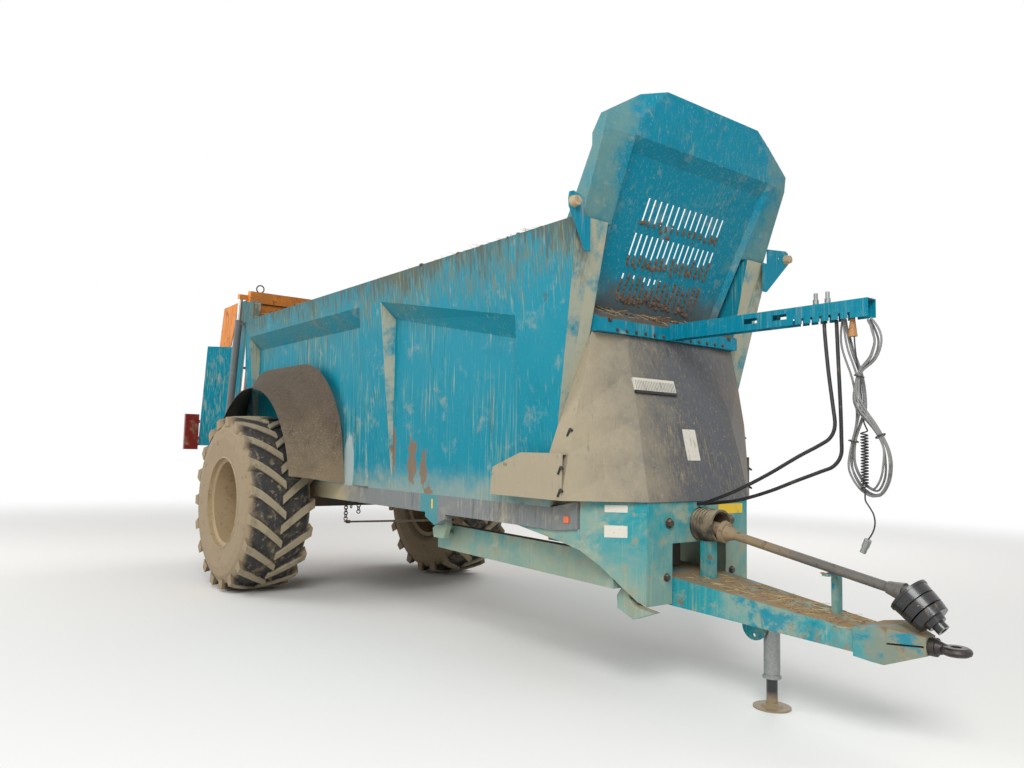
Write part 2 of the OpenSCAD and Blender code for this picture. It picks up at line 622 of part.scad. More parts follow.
// Distance of the tread from the axle between the lugs
carcass_r = tyre_r - lug_h;
lug_sweep = 16.5;
lug_top_w = 36;
module lug(s, turn) {
  // Bar from the shoulder to just past the middle, trailing round the tyre
  stations = 4;
  function at(i) = let(u = i / stations, y = tyre_w * (0.47 - 0.495 * u), a = turn - lug_sweep * pow(u, 1.2),
    low = carcass_r - 60 * pow(1 - u, 3) - 12, high = tyre_r - 24 * pow(1 - u, 3),
    da = atan(lug_top_w * (1 + 0.25 * (1 - u)) / tyre_r))
    [for (c = [[low, -da * 1.5], [low, da * 1.5], [high, da], [high, -da]])
      [c[0] * cos(a + c[1]), c[0] * sin(a + c[1]), s * y]];
  loops = [for (i = [0:stations]) at(i)];
  if (s > 0) loft(loops);
  else loft([for (i = [stations:-1:0]) loops[i]]);
}
module tyre() {
  half = tyre_w / 2;
  bead = rim_r + 0.5;
  rotate_extrude() polygon([
    [bead, -(half - 72)], [bead + 60, -(half - 30)], [(bead + carcass_r) / 2, -(half - 6)],
    [carcass_r - 110, -(half - 14)], [carcass_r - 40, -(half - 50)], [carcass_r, -(half - 130)],
    [carcass_r + 6, 0], [carcass_r, half - 130], [carcass_r - 40, half - 50], [carcass_r - 110, half - 14],
    [(bead + carcass_r) / 2, half - 6], [bead + 60, half - 24], [bead + 7, half - 28], [bead, half - 74],
    [rim_r - 31, half - 90], [rim_r - 31, -(half - 90)], [bead, -(half - 74)]]);
  for (i = [0:lug_count - 1]) {
    lug(1, 11.3 + i * 360 / lug_count);
    lug(-1, 11.3 + (i + 0.5) * 360 / lug_count);
  }
}
module wheel_hub_right() { color("tan") wheel_place(-1) wheel_hub(); }
module rim_right() { color("tan") wheel_place(-1) rim(); }
module tyre_right() { color("dimgray") wheel_place(-1) tyre(); }
module wheel_hub_left() { color("tan") wheel_place(1) wheel_hub(); }
module rim_left() { color("tan") wheel_place(1) rim(); }
module tyre_left() { color("dimgray") wheel_place(1) tyre(); }

// Mudguard: a flared moulded shell, from a rounded line on the wall to a round outer lip
guard_t = 8;
guard_steps = 14;
// Reach of the line on the wall forwards, back and up, and the radius of its corners
guard_front = tyre_r + 465;
guard_back = tyre_r + 385;
guard_top_z = tyre_r + 1440;
guard_corner_r = 830;
guard_out_r = tyre_r + 300;
module mudguard() {
  foot = body_z + 15;
  // Half outline at the wall: upright, round corner, flat top
  function inner_pt(u, d, reach) = let(w = reach - d, h = guard_top_z - d, c = guard_corner_r - d,
    straight = h - c - foot, arc = c * PI / 2, flat = w - c, s = u * (straight + arc + flat))
    s <= straight ? [w, foot + s]
    : s <= straight + arc ? let(a = (s - straight) / c * 57.2958) [w - c + c * cos(a), h - c + c * sin(a)]
    : [w - c - (s - straight - arc), h];
  function outer_pt(u, d) = let(a = 15 + 75 * u)
    [(guard_out_r - d) * cos(a), tyre_r + (guard_out_r - d) * sin(a)];
  // Point at share u round the half outline and v of the way out
  function at(u, v, y, d, s) =
    let(p = inner_pt(u, d, s > 0 ? guard_front : guard_back) * (1 - v) + outer_pt(u, d) * v)
    [s * p[0], -(y == 0 ? side_y(p[1]) + 2 : y), p[1]];
  function row(r, d) = concat([for (i = [0:guard_steps]) at(i / guard_steps, r[0], r[1], d, 1)],
    [for (i = [guard_steps - 1:-1:0]) at(i / guard_steps, r[0], r[1], d, -1)]);
  // Rows: share of the way out, distance from the middle of the machine, or 0 for the wall's own face
  rows = [[0, 0], [0.25, 975], [0.7, 1130], [1, 1300]];
  sheet_between([for (r = rows) row(r, 0)], [for (r = rows) row(r, guard_t)]);
}
module mudguard_right() { color("saddlebrown") place() mudguard(); }
module mudguard_left() { color("saddlebrown") place() left() mudguard(); }

// Rear frame: two leaned pillars beside the body's end, over the rail
rear_pillar_d = 215;
gate_gap = 6;
module rear_pillars() {
  color("darkturquoise")
  place() both() side_sheet(rail_y, rail_w - 5, [[rear_at(rail_z) + 2, rail_z],
    [rear_at(rail_z) + rear_pillar_d, rail_z], [rear_at(pillar_z) + rear_pillar_d, pillar_z - 40],
    [rear_at(pillar_z) + rear_pillar_d - 30, pillar_z], [rear_at(pillar_z) + 2, pillar_z]]);
}

// Gate: a panel that slides along the rear end, with a top beam and an ear for each rod
gate_t = 40;
gate_top_z = pillar_z + 140;
gate_l = (gate_top_z - body_z) / cos(rear_lean);
gate_y = 930;
beam_y = 985;
beam_h = (gate_top_z - pillar_z) / cos(rear_lean) - 10;
rod_y = 1048;
rod_x = -115;
module gate() {
  foot = (floor_z - body_z) / cos(rear_lean);
  color("orange")
  place() lean_rear() {
    block([-gate_t - gate_gap, -gate_y, foot + 4], [-gate_gap, gate_y, gate_l - beam_h]);
    block([-gate_t - gate_gap - 20, -beam_y, gate_l - beam_h], [30, beam_y, gate_l]);
    both() block([rod_x - 30, -(rod_y + 30), gate_l - 110],
      [-gate_t - gate_gap - 20, -(rod_y - 75), gate_l - 50]);
    // Stiffeners on the rear face
    for (y = [-600, -200, 200, 600])
      block([-gate_t - gate_gap - 25, y - 30, foot + 40], [-gate_t - gate_gap, y + 30, gate_l - beam_h]);
  }
}

// Gate cylinders: rods fixed to the gate, barrels fixed to the rotor plates
rod_r = 25;
barrel_r = 42;
barrel_low = 560;
barrel_top = box_h + 20;
rod_fit = 0.05;
module gate_rods() {
  color("silver")
  place() lean_rear() both()
    cylinder_at([rod_x, -rod_y, barrel_low + 60], gate_l - 110 - barrel_low - 60, rod_r);
}
module gate_barrels() {
  color("gray")
  place() lean_rear() both() {
    difference() {
      union() {
        cylinder_at([rod_x, -rod_y, barrel_low], barrel_top - barrel_low, barrel_r);
        // Clamps that hold the barrel on the plate
        for (z = [barrel_low + 40, barrel_top - 60])
          block([rod_x - 50, -rod_y, z], [rod_x + 50, -plate_out_y, z + 40]);
      }
      cylinder_at([rod_x, -rod_y, barrel_low + 20], barrel_top, rod_r + rod_fit);
    }
  }
}

// Rotor frame: side plates behind the gate, a top beam and a gearbox beam
plate_in_y = 945;
plate_out_y = 957;
plate_low_z = body_z - 155;
plate_high_z = pillar_z + 60;
module rotor_plate() {
  tie = rear_at(body_z);
  color("darkturquoise")
  side_sheet(plate_out_y, plate_out_y - plate_in_y, [[rear_at(plate_low_z) - 70, plate_low_z],
    [rear_at(plate_high_z) - 85, plate_high_z], [rear_at(plate_high_z) - 480, plate_high_z],
    [rear_at(body_z + 911) - 610, body_z + 911], [rear_at(plate_low_z) - 640, plate_low_z]]);
  // Foot tie to the sill
  side_sheet(plate_in_y, plate_in_y - sill_y,
    [[tie - 300, body_z - 135], [tie - 300, body_z - 45], [tie + 80, body_z - 45], [tie + 80, body_z - 135]]);
}
module rotor_plate_right() { place() rotor_plate(); }
module rotor_plate_left() { place() left() rotor_plate(); }
pin_r = 35;
pin_fit = 0.05;
module rotor_top_beam() {
  color("darkturquoise")
  place() lean_rear() difference() {
    block([rotor_x - 70, -plate_in_y, rotor_top + 20], [rotor_x + 160, plate_in_y, rotor_top + 120]);
    both() translate([rotor_x, -rotor_y, rotor_top]) cylinder(h = 80, r = pin_r + pin_fit);
  }
}
line_z = body_z - 38;
line_end_x = rear_x - 400;
module rotor_gearbox() {
  color("dimgray")
  place() {
    lean_rear() difference() {
      union() {
        block([rotor_x - 80, -plate_in_y, -140], [rotor_x + 80, plate_in_y, -40]);
        both() translate([rotor_x, -rotor_y, -150]) cylinder(h = 180, r = 130);
      }
      both() translate([rotor_x, -rotor_y, -20]) cylinder(h = 80, r = pin_r + pin_fit);
    }
    // Input flange that takes the drive line
    translate([line_end_x - 120, 0, line_z]) rotate([0, 90, 0]) cylinder(h = 120, r = 50);
  }
}
// Rotor: tube, foot disc with paddles, and two helical flights with knives on their edge
module flight(start, hand) {
  n = round(flight_turns * 18);
  foot = 60;
  span = rotor_top - rotor_foot - 180;
  root = rotor_tube_r - 6;
  edge = rotor_r - 60;
  function loop(a, z) = [for (c = [[root, 0], [edge, 0], [edge, 12], [root, 12]])
    [c[0] * cos(a), c[0] * sin(a), z + c[1]]];
  loft([for (i = [0:n]) loop(start + hand * 360 * flight_turns * i / n, rotor_foot + foot + span * i / n)]);
  for (i = [0:knife_count - 1]) let(u = (i + 0.5) / knife_count)
    translate([0, 0, rotor_foot + foot + span * u]) rotate([0, 0, start + hand * 360 * flight_turns * u])
      translate([rotor_r - 100, -18, -8]) cube([96, 36, 30]);
}
module rotor() {
  cylinder(h = rotor_top - rotor_foot, r = rotor_tube_r);
  translate([0, 0, -70]) cylinder(h = 75, r = pin_r);
  translate([0, 0, rotor_top - rotor_foot - 5]) cylinder(h = 75, r = pin_r);
  cylinder(h = disc_t, r = disc_r);
  for (i = [0:3]) rotate([0, 0, i * 90]) block([rotor_tube_r - 5, -6, 10], [rotor_r - 14, 6, 90]);
}
module rotor_place(s, hand) {
  color("orange") place() lean_rear() {
    translate([rotor_x, s * rotor_y, rotor_foot]) rotor();
    translate([rotor_x, s * rotor_y, 0]) for (a = [0, 180]) flight(a, hand);
  }
}
module rotor_right() { rotor_place(-1, 1); }
module rotor_left() { rotor_place(1, -1); }

// Guards and wings behind the rotor plates
guard_low_z = rail_z - 255;
module top_guards() {
  color("orange")
  place() both() side_sheet(plate_out_y + 12, 11, [[rear_at(guard_low_z) - 560, guard_low_z],
    [rear_at(plate_high_z) - 420, plate_high_z], [rear_at(plate_high_z) - 960, plate_high_z - 10],
    [rear_at(guard_low_z) - 1000, guard_low_z]]);
}
wing_low_z = body_z + 335;
wing_top_z = rail_z - 265;
wing_out_y = 1200;
module wing() {
  near = plate_out_y + 1;
  far = plate_out_y + 12;
  module leaf(outline) {
    loft([for (z = [wing_low_z, wing_top_z]) [for (p = outline) [rear_at(z) + p[0], -p[1], z]]]);
  }
  // Flange on the rotor plate, and the slanted leaf
  leaf([[-460, near], [-530, near], [-524, far], [-460, far]]);
  leaf([[-530, near], [-705, wing_out_y], [-698, wing_out_y + 8], [-524, far]]);
}
module wings() { color("darkturquoise") place() both() wing(); }
module rear_lamps() {
  z = body_z + 285;
  color("firebrick")
  place() both() {
    block([lamp_x, -(wing_out_y + 185), z], [lamp_x + 50, -(wing_out_y + 20), z + 440]);
    // Arms to the wing's edge
    for (dz = [120, 330])
      block([lamp_x + 5, -(wing_out_y + 25), z + dz], [lamp_x + 49, -(wing_out_y + 8.5), z + dz + 40]);
  }
}

// Drive: front gearbox behind the plate, guard, shaft, bell and the line under the floor
bell_tilt = 131;
bell_at = [eye_x - 237, 0, eye_z + 246];
bell_l = 200;
shaft_from = [plate_x, 0, drive_z];
shaft_to = bell_at - [18, 0, -4];
shaft_tilt = atan2(shaft_to[0] - shaft_from[0], shaft_to[2] - shaft_from[2]);
function shaft_z(x) = shaft_from[2] + (x - shaft_from[0]) / tan(shaft_tilt);
module drive_gearbox() {
  color("dimgray")
  place() {
    block([front_x + 180, -130, drive_z - 120], [front_x + 460, 130, drive_z + 130]);
    translate([front_x + 459, 0, drive_z]) rotate([0, 90, 0]) cylinder(h = 60, r = 60);
    block([front_x + 220, -90, eye_z + 191], [front_x + 320, 90, drive_z - 120]);
  }
}
module drive_guard() {
  rib_pitch = 26;
  color("dimgray")
  place() translate([front_x + 525, 0, drive_z]) rotate([0, 90, 0]) difference() {
    union() {
      cylinder(h = 210, r = guard_r - 6);
      for (i = [0:3]) translate([0, 0, plate_gap - 525 + 8 + i * rib_pitch]) cylinder(h = 12, r = guard_r);
      translate([0, 0, 180]) cylinder(h = 30, r = guard_r);
    }
    translate([0, 0, 20]) cylinder(h = 200, r = guard_r - 14);
  }
}
module drive_shaft() {
  d = shaft_to - shaft_from;
  color("dimgray")
  place() translate(shaft_from) rotate([0, shaft_tilt, 0]) {
    cylinder(h = norm(d), r = shaft_r);
    cylinder(h = 170, r = 46);
    // Collar and cone in front of the guard
    translate([0, 0, 192]) cylinder(h = 30, r1 = 72, r2 = 66);
    translate([0, 0, 221]) cylinder(h = 70, r1 = 54, r2 = shaft_r);
    // Cone ahead of the bell
    translate([0, 0, norm(d) - 90]) cylinder(h = 88, r1 = 34, r2 = 52);
  }
  // Cross and fork of the joint inside the bell
  color("dimgray") place() {
    translate(shaft_to) rotate([90, 0, 0]) cylinder(h = 76, r = 38, center = true);
    translate(bell_at) rotate([0, bell_tilt, 0]) cylinder(h = 58.5, r = 40);
  }
}
module shaft_bell() {
  big = 109;
  color("dimgray")
  place() translate(bell_at) rotate([0, bell_tilt, 0]) {
    difference() {
      union() {
        cylinder(h = 14, r = big + 4);
        cylinder(h = bell_l, r1 = big - 6, r2 = big - 58);
        // Rings between grooves
        for (ring = [[8, 54, 0, 5], [70, 50, 4, 9], [128, 44, 10, 18]])
          translate([0, 0, ring[0]]) cylinder(h = ring[1], r1 = big - ring[2], r2 = big - ring[3]);
      }
      translate([0, 0, -1]) cylinder(h = 60, r1 = big - 10, r2 = big - 30);
    }
    // Splined yoke
    difference() {
      translate([0, 0, bell_l - 10]) cylinder(h = 48, r = 34);
      translate([0, 0, bell_l - 6]) cylinder(h = 60, r = spline_r);
    }
  }
}
module driveline() {
  color("dimgray")
  place() translate([line_end_x, 0, line_z]) rotate([0, 90, 0])
    cylinder(h = front_x + 180 - line_end_x, r = 36);
}

// Hose arm: a channel from the ledge, with comb slots, couplers on top and a dust cone
arm_z = rail_z - 657;
arm_top_z = arm_z + arm_h - 25;
tip_x = ledge_front_x + arm_l;
comb_x = [for (i = [0:6]) tip_x - 470 + i * 58];
module hose_arm() {
  color("darkturquoise")
  place() difference() {
    block([ledge_front_x, -arm_w / 2, arm_z - 25], [tip_x, arm_w / 2, arm_top_z]);
    block([ledge_front_x + 8, -arm_w / 2 + 6, arm_z - 26], [tip_x + 1, arm_w / 2 - 6, arm_top_z - 6]);
    for (x = comb_x) block([x, -arm_w, arm_z - 26], [x + 16, arm_w, arm_z + 9]);
    // Windows in the sides
    for (x = [ledge_front_x + 620, ledge_front_x + 830])
      block([x, -arm_w, arm_z + 15], [x + 100, arm_w, arm_z + 48]);
  }
}
coupler_x = [tip_x - 343, tip_x - 267];
coupler_r = 12;
module hose_couplers() {
  color("silver")
  place() for (x = coupler_x) translate([x, 0, arm_top_z]) {
    cylinder(h = 34, r = 17);
    translate([0, 0, 34]) cylinder(h = 40, r = coupler_r);
  }
}
module dust_cone() {
  color("saddlebrown")
  place() translate([tip_x - 114, 0, arm_z - 125]) cylinder(h = 100, r1 = 26, r2 = 14);
}

// Hoses and leads: their points are X from the arm's tip, Y, and Z from the arm's foot
cord_sides = 8;
function knot(p, i) = p[max(0, min(i, len(p) - 1))];
// A smooth line through the points, n steps from each to the next
function smooth(p, n) = concat([for (i = [0:len(p) - 2]) for (j = [0:n - 1]) let(t = j / n,
    a = knot(p, i - 1), b = p[i], c = p[i + 1], d = knot(p, i + 2))
    0.5 * (2 * b + (c - a) * t + (2 * a - 5 * b + 4 * c - d) * t * t + (3 * b - a - 3 * c + d) * t * t * t)],
  [p[len(p) - 1]]);
module tube(points, r, n) {
  p = smooth(points, n);
  function ring(i) = let(t = knot(p, i + 1) - knot(p, i - 1), v = cross(t, [0, 1, 0]), across = v / norm(v),
    up = cross(across, t) / norm(cross(across, t)))
    [for (k = [0:cord_sides - 1]) let(a = k * 360 / cord_sides) p[i] + r * cos(a) * up + r * sin(a) * across];
  translate([tip_x, 0, arm_z]) loft([for (i = [0:len(p) - 1]) ring(i)]);
}
plug_at = [-52, 26, -1264];
plug_tilt = 24;
hose_front_route = [[-282, -15, -18], [-276, -15, -120], [-257, -15, -320], [-230, -17, -520],
  [-217, -20, -630], [-243, -24, -700], [-310, -26, -745], [-450, -28, -815], [-660, -30, -930],
  [-880, -30, -1035], [-1050, -30, -1101], [-1150, -30, -1135], [-1195, -30, -1142]];
hose_rear_route = [[-222, 15, -18], [-218, 15, -120], [-210, 15, -320], [-203, 17, -520], [-201, 20, -700],
  [-207, 24, -800], [-255, 26, -865], [-340, 28, -900], [-500, 29, -960], [-680, 30, -1030],
  [-890, 30, -1095], [-1050, 30, -1124], [-1150, 30, -1137], [-1195, 30, -1141]];
grey_route = [[-4, -22, -40], [25, -22, -90], [48, -22, -170], [20, -22, -260], [-57, -22, -334],
  [-76, -22, -430], [-62, -22, -522], [20, -22, -640], [72, -20, -740], [84, -16, -830], [53, 18, -929],
  [-12, 54, -999], [-86, 72, -981], [-136, 64, -913], [-155, 52, -837], [-141, 45, -719], [-107, 42, -609],
  [-90, 36, -519], [-107, 32, -360], [-158, 26, -200], [-176, 24, -90], [-177, 22, -18]];
lead_top_route = [[-105, 0, -126], [-100, 0, -200], [-84, 2, -330], [-72, 6, -450], [-68, 12, -560],
  [-67, 20, -603]];
coil_route = [[-67, 22, -606], [-66, 24, -700], [-66, 26, -800], [-67, 26, -900], [-68, 26, -1000],
  [-67, 26, -1041]];
lead_end_route = [[-67, 26, -1044], [-60, 26, -1060], [-42, 26, -1085], [-20, 26, -1122],
  [-12, 26, -1165], [-18, 26, -1202], [-33, 26, -1235], [-51, 26, -1261]];
module hose_front() { color("black") place() tube(hose_front_route, hose_d / 2, 3); }
module hose_rear() { color("black") place() tube(hose_rear_route, hose_d / 2, 3); }
module grey_hose() { color("gray") place() tube(grey_route, 15, 2); }
module lead_top() { color("black") place() tube(lead_top_route, 5, 3); }
module coiled_lead() { color("black") place() tube(coil_route, 21, 1); }
module lead_end() { color("black") place() tube(lead_end_route, 5, 3); }
module lead_plug() {
  color("silver")
  place() translate([tip_x, 0, arm_z] + plug_at) rotate([0, 180 + plug_tilt, 0]) {
    cylinder(h = 46, r = 20);
    translate([0, 0, 45]) cylinder(h = 36, r = 17);
  }
}

floor();
floor_chains();
side_wall_right();
side_wall_left();
front_wall();
hood();
hood_ledge();
front_cover();
marker_brackets();
marker_lamps();
sills();
cross_members();
drawbar_cheeks();
spring_arms();
drawbar();
towing_eye();
jack_tube();
jack_leg();
axle_beam();
wheel_hub_right();
rim_right();
tyre_right();
wheel_hub_left();
rim_left();
tyre_left();
mudguard_right();
mudguard_left();
rear_pillars();
gate();
gate_rods();
gate_barrels();
rotor_plate_right();
rotor_plate_left();
rotor_top_beam();
rotor_gearbox();
rotor_right();
rotor_left();
top_guards();
wings();
rear_lamps();
drive_gearbox();
drive_guard();
drive_shaft();
shaft_bell();
driveline();
hose_arm();
hose_couplers();
dust_cone();
hose_front();
hose_rear();
grey_hose();
lead_top();
coiled_lead();
lead_end();
lead_plug();
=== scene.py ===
"""Finishes, hoses and small fittings of a towed manure spreader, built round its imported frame."""
import json
import math
import random

import bmesh
import bpy
from mathutils import Matrix, Vector

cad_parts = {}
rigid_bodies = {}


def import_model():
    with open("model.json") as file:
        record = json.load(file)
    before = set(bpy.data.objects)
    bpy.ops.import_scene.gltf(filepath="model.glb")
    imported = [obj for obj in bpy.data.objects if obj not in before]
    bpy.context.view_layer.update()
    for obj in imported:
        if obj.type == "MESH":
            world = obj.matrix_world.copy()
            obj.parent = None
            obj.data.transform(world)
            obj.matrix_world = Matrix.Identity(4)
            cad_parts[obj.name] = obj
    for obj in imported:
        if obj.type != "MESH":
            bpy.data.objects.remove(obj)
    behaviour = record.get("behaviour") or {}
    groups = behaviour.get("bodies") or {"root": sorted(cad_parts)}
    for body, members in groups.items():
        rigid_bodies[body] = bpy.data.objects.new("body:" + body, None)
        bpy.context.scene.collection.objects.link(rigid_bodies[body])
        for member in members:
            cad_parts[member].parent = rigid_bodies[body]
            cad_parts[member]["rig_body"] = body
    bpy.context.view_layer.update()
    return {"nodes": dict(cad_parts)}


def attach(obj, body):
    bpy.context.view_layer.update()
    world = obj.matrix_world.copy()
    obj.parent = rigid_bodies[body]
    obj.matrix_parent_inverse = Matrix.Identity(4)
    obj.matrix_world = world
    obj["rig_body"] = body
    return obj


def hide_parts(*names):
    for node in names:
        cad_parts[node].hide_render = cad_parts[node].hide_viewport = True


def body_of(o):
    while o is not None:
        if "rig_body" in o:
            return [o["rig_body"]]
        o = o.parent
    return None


bl_info = {
    "name": "Manure spreader",
    "version": (1, 0, 0),
    "blender": (4, 5, 0),
    "location": "View3D > Sidebar > Spreader",
    "description": "Finishes, hoses and fittings of a towed manure spreader",
    "category": "Object",
}

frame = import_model()
NODES = frame["nodes"]
# The axle lies this far behind the middle of the machine
MIDDLE = 2.189513


def spot(x, y, z):
    """A place in metres, with X counted forwards from the axle."""
    return Vector((x - MIDDLE, y, z))


def tint(red, green, blue):
    """A colour of 0 to 255 a channel as the linear colour that Blender's sockets take."""
    return tuple(c / 3294.6 if c <= 10 else ((c / 255 + 0.055) / 1.055) ** 2.4 for c in (red, green, blue))


# Sizes and colours

def colour(label, says, value):
    return bpy.props.FloatVectorProperty(name=label, description=says, subtype="COLOR", size=3, min=0, max=1,
                                         default=value)


def length(label, says, value):
    return bpy.props.FloatProperty(name=label, description=says, unit="LENGTH", min=0.0, default=value)


class SpreaderColours(bpy.types.PropertyGroup):
    body: colour("Body paint", "Turquoise of the load box", tint(0, 126, 146))
    hood: colour("Hood paint", "Turquoise of the slotted hood", tint(0, 122, 146))
    running_gear: colour("Frame paint", "Turquoise of the drawbar and its cheeks", tint(40, 142, 150))
    orange: colour("Orange paint", "Paint of the gate, rotors and top guards", tint(214, 126, 18))
    cover: colour("Cover", "Plastic of the front cover", tint(72, 75, 80))
    mudguard: colour("Mudguard", "Plastic of the mudguards", tint(92, 78, 60))
    rubber: colour("Rubber", "Tyres and hoses", tint(48, 47, 46))
    dust: colour("Dust", "Dry dust and lime", tint(178, 168, 140))
    mud: colour("Mud", "Dried mud", tint(142, 124, 96))
    rust: colour("Rust", "Rust on worn paint", tint(122, 76, 44))
    manure: colour("Manure", "Dried manure in the slots and on the ledges", tint(98, 79, 64))
    sleeve: colour("Sleeve", "Woven sleeve of the bundled hoses", tint(124, 126, 124))


class SpreaderSizes(bpy.types.PropertyGroup):
    bolt: length("Bolt width", "Width of a bolt head over its flats", 0.034)
    hose: length("Hose width", "Diameter of a hydraulic hose", 0.022)
    strand: length("Strand width", "Diameter of a hose in the grey bundle", 0.012)
    lead: length("Lead width", "Diameter of the curly lead", 0.0085)
    coil: length("Coil radius", "Radius of the curly lead's turns", 0.018)
    rod: length("Brake rod width", "Diameter of the brake rod", 0.018)
    stage: length("Floor width", "Width of the studio floor", 120.0)


# Shared shader groups and the finishes that use them

def add(tree, kind, inputs=None, **settings):
    """A node with its settings, and its inputs set or linked."""
    made = tree.nodes.new(kind)
    for key, value in settings.items():
        setattr(made, key, value)
    for key, value in (inputs or {}).items():
        if isinstance(value, bpy.types.NodeSocket):
            tree.links.new(value, made.inputs[key])
        else:
            made.inputs[key].default_value = value
    return made


def bare_tree(owner):
    """The emptied node tree of a material or a world."""
    owner.use_nodes = True
    owner.node_tree.nodes.clear()
    return owner.node_tree


def maths(tree, what, a, b=0.0):
    return add(tree, "ShaderNodeMath", {0: a, 1: b}, operation=what).outputs[0]


def vectors(tree, what, a, b=None):
    """Vector maths on one or two vectors."""
    given = {0: a} if b is None else {0: a, 1: b}
    return add(tree, "ShaderNodeVectorMath", given, operation=what).outputs


def noise(tree, vector, scale, detail=4.0, rough=0.6, twist=0.0):
    return add(tree, "ShaderNodeTexNoise", {"Vector": vector, "Scale": scale, "Detail": detail, "Roughness": rough,
                                            "Distortion": twist}).outputs[0]


def ramp(tree, value, low, high, amount=1.0):
    """Rises from 0 at low to amount at high."""
    return add(tree, "ShaderNodeMapRange", {0: value, 1: low, 2: high, 3: 0.0, 4: amount},
               interpolation_type="SMOOTHSTEP").outputs[0]


def ragged(tree, given, place, scale, detail):
    """Rises from 0 at Gone to Amount at Full, where noise moves the place by Ragged."""
    wave = maths(tree, "SUBTRACT", noise(tree, given["Vector"], scale, detail, 0.7), 0.5)
    moved = maths(tree, "ADD", place, maths(tree, "MULTIPLY", wave, given["Ragged"]))
    return ramp(tree, moved, given["Gone"], given["Full"], given["Amount"])


def group(name, inputs, make, output="Mask"):
    """A shader group with its sockets, whose output is what make builds from its inputs."""
    tree = bpy.data.node_groups.new(name, "ShaderNodeTree")
    tree.interface.new_socket("Vector", in_out="INPUT", socket_type="NodeSocketVector")
    for label, value in inputs:
        kind = "NodeSocketVector" if isinstance(value, tuple) else "NodeSocketFloat"
        tree.interface.new_socket(label, in_out="INPUT", socket_type=kind).default_value = value
    kind = "NodeSocketVector" if output == "Normal" else "NodeSocketFloat"
    tree.interface.new_socket(output, in_out="OUTPUT", socket_type=kind)
    given = tree.nodes.new("NodeGroupInput").outputs
    end = tree.nodes.new("NodeGroupOutput").inputs[output]
    tree.links.new(make(tree, given), end)
    return tree


def make_runs(tree, given):
    """Marks that water leaves down a wall, closest together from one height on."""
    down = maths(tree, "MULTIPLY", given["Density"], given["Stretch"])
    scale = add(tree, "ShaderNodeCombineXYZ", {0: given["Density"], 1: given["Density"], 2: down}).outputs[0]
    drawn = vectors(tree, "MULTIPLY", given["Vector"], scale)[0]
    thin = noise(tree, drawn, 1.0, 5.0, 0.65)
    wide = noise(tree, given["Vector"], 1.1, 3.0, 0.6)
    both = maths(tree, "ADD", maths(tree, "MULTIPLY", thin, 0.7), maths(tree, "MULTIPLY", wide, 0.3))
    height = add(tree, "ShaderNodeSeparateXYZ", {0: given["Vector"]}).outputs[2]
    cover = maths(tree, "MULTIPLY", given["Cover"], ramp(tree, height, given["Gone"], given["Full"]))
    low = maths(tree, "SUBTRACT", 0.66, maths(tree, "MULTIPLY", cover, 0.26))
    return ramp(tree, both, low, maths(tree, "ADD", low, 0.11), given["Amount"])


def make_blotches(tree, given):
    """Patches of dirt, wear or rust."""
    spots = noise(tree, given["Vector"], given["Scale"], 8.0, 0.66, 0.3)
    low = maths(tree, "SUBTRACT", 0.74, maths(tree, "MULTIPLY", given["Cover"], 0.44))
    return ramp(tree, spots, low, maths(tree, "ADD", low, given["Softness"]), given["Amount"])


def make_fade(tree, given):
    """Dirt that lies from one place to another along a direction, with a ragged end."""
    along = vectors(tree, "DOT_PRODUCT", given["Vector"], given["Direction"])["Value"]
    return ragged(tree, given, along, 4.0, 8.0)


def make_ring(tree, given):
    """Dirt on a wheel by its distance from the axle, with a ragged edge."""
    flat = vectors(tree, "MULTIPLY", given["Vector"], (1.0, 0.0, 1.0))[0]
    return ragged(tree, given, vectors(tree, "LENGTH", flat)["Value"], 9.0, 8.0)


def make_facing(tree, given):
    """Dirt on the faces that look one way, where Y counts towards the middle line."""
    normal = add(tree, "ShaderNodeTexCoord").outputs["Normal"]
    side = maths(tree, "SIGN", add(tree, "ShaderNodeSeparateXYZ", {0: given["Vector"]}).outputs[1])
    turn = add(tree, "ShaderNodeCombineXYZ", {0: 1.0, 1: maths(tree, "MULTIPLY", side, -1.0), 2: 1.0}).outputs[0]
    normal = vectors(tree, "MULTIPLY", normal, turn)[0]
    looks = vectors(tree, "DOT_PRODUCT", normal, given["Direction"])["Value"]
    wave = ramp(tree, noise(tree, given["Vector"], given["Scale"], 8.0, 0.7), 0.3, 0.55, given["Amount"])
    return maths(tree, "MULTIPLY", ramp(tree, looks, 0.25, 0.8), wave)


def make_patch(tree, given):
    """One mark at a place, with a ragged edge."""
    away = vectors(tree, "SUBTRACT", given["Vector"], given["Place"])[0]
    far = vectors(tree, "LENGTH", vectors(tree, "DIVIDE", away, given["Size"])[0])["Value"]
    wave = maths(tree, "SUBTRACT", noise(tree, given["Vector"], 16.0, 6.0, 0.7), 0.5)
    place = maths(tree, "ADD", far, maths(tree, "MULTIPLY", wave, given["Ragged"]))
    return ramp(tree, place, 1.0, 0.75, given["Amount"])


def make_grain(tree, given):
    """Small bumps of caked dirt, cast metal or moulded plastic."""
    fine = maths(tree, "MULTIPLY", noise(tree, given["Vector"], given["Scale"], 6.0, 0.7), given["Strength"])
    dents = maths(tree, "MULTIPLY", noise(tree, given["Vector"], 1.6, 2.0, 0.5), given["Dents"])
    height = maths(tree, "ADD", fine, dents)
    return add(tree, "ShaderNodeBump", {"Strength": 1.0, "Distance": 0.004, "Height": height}).outputs["Normal"]


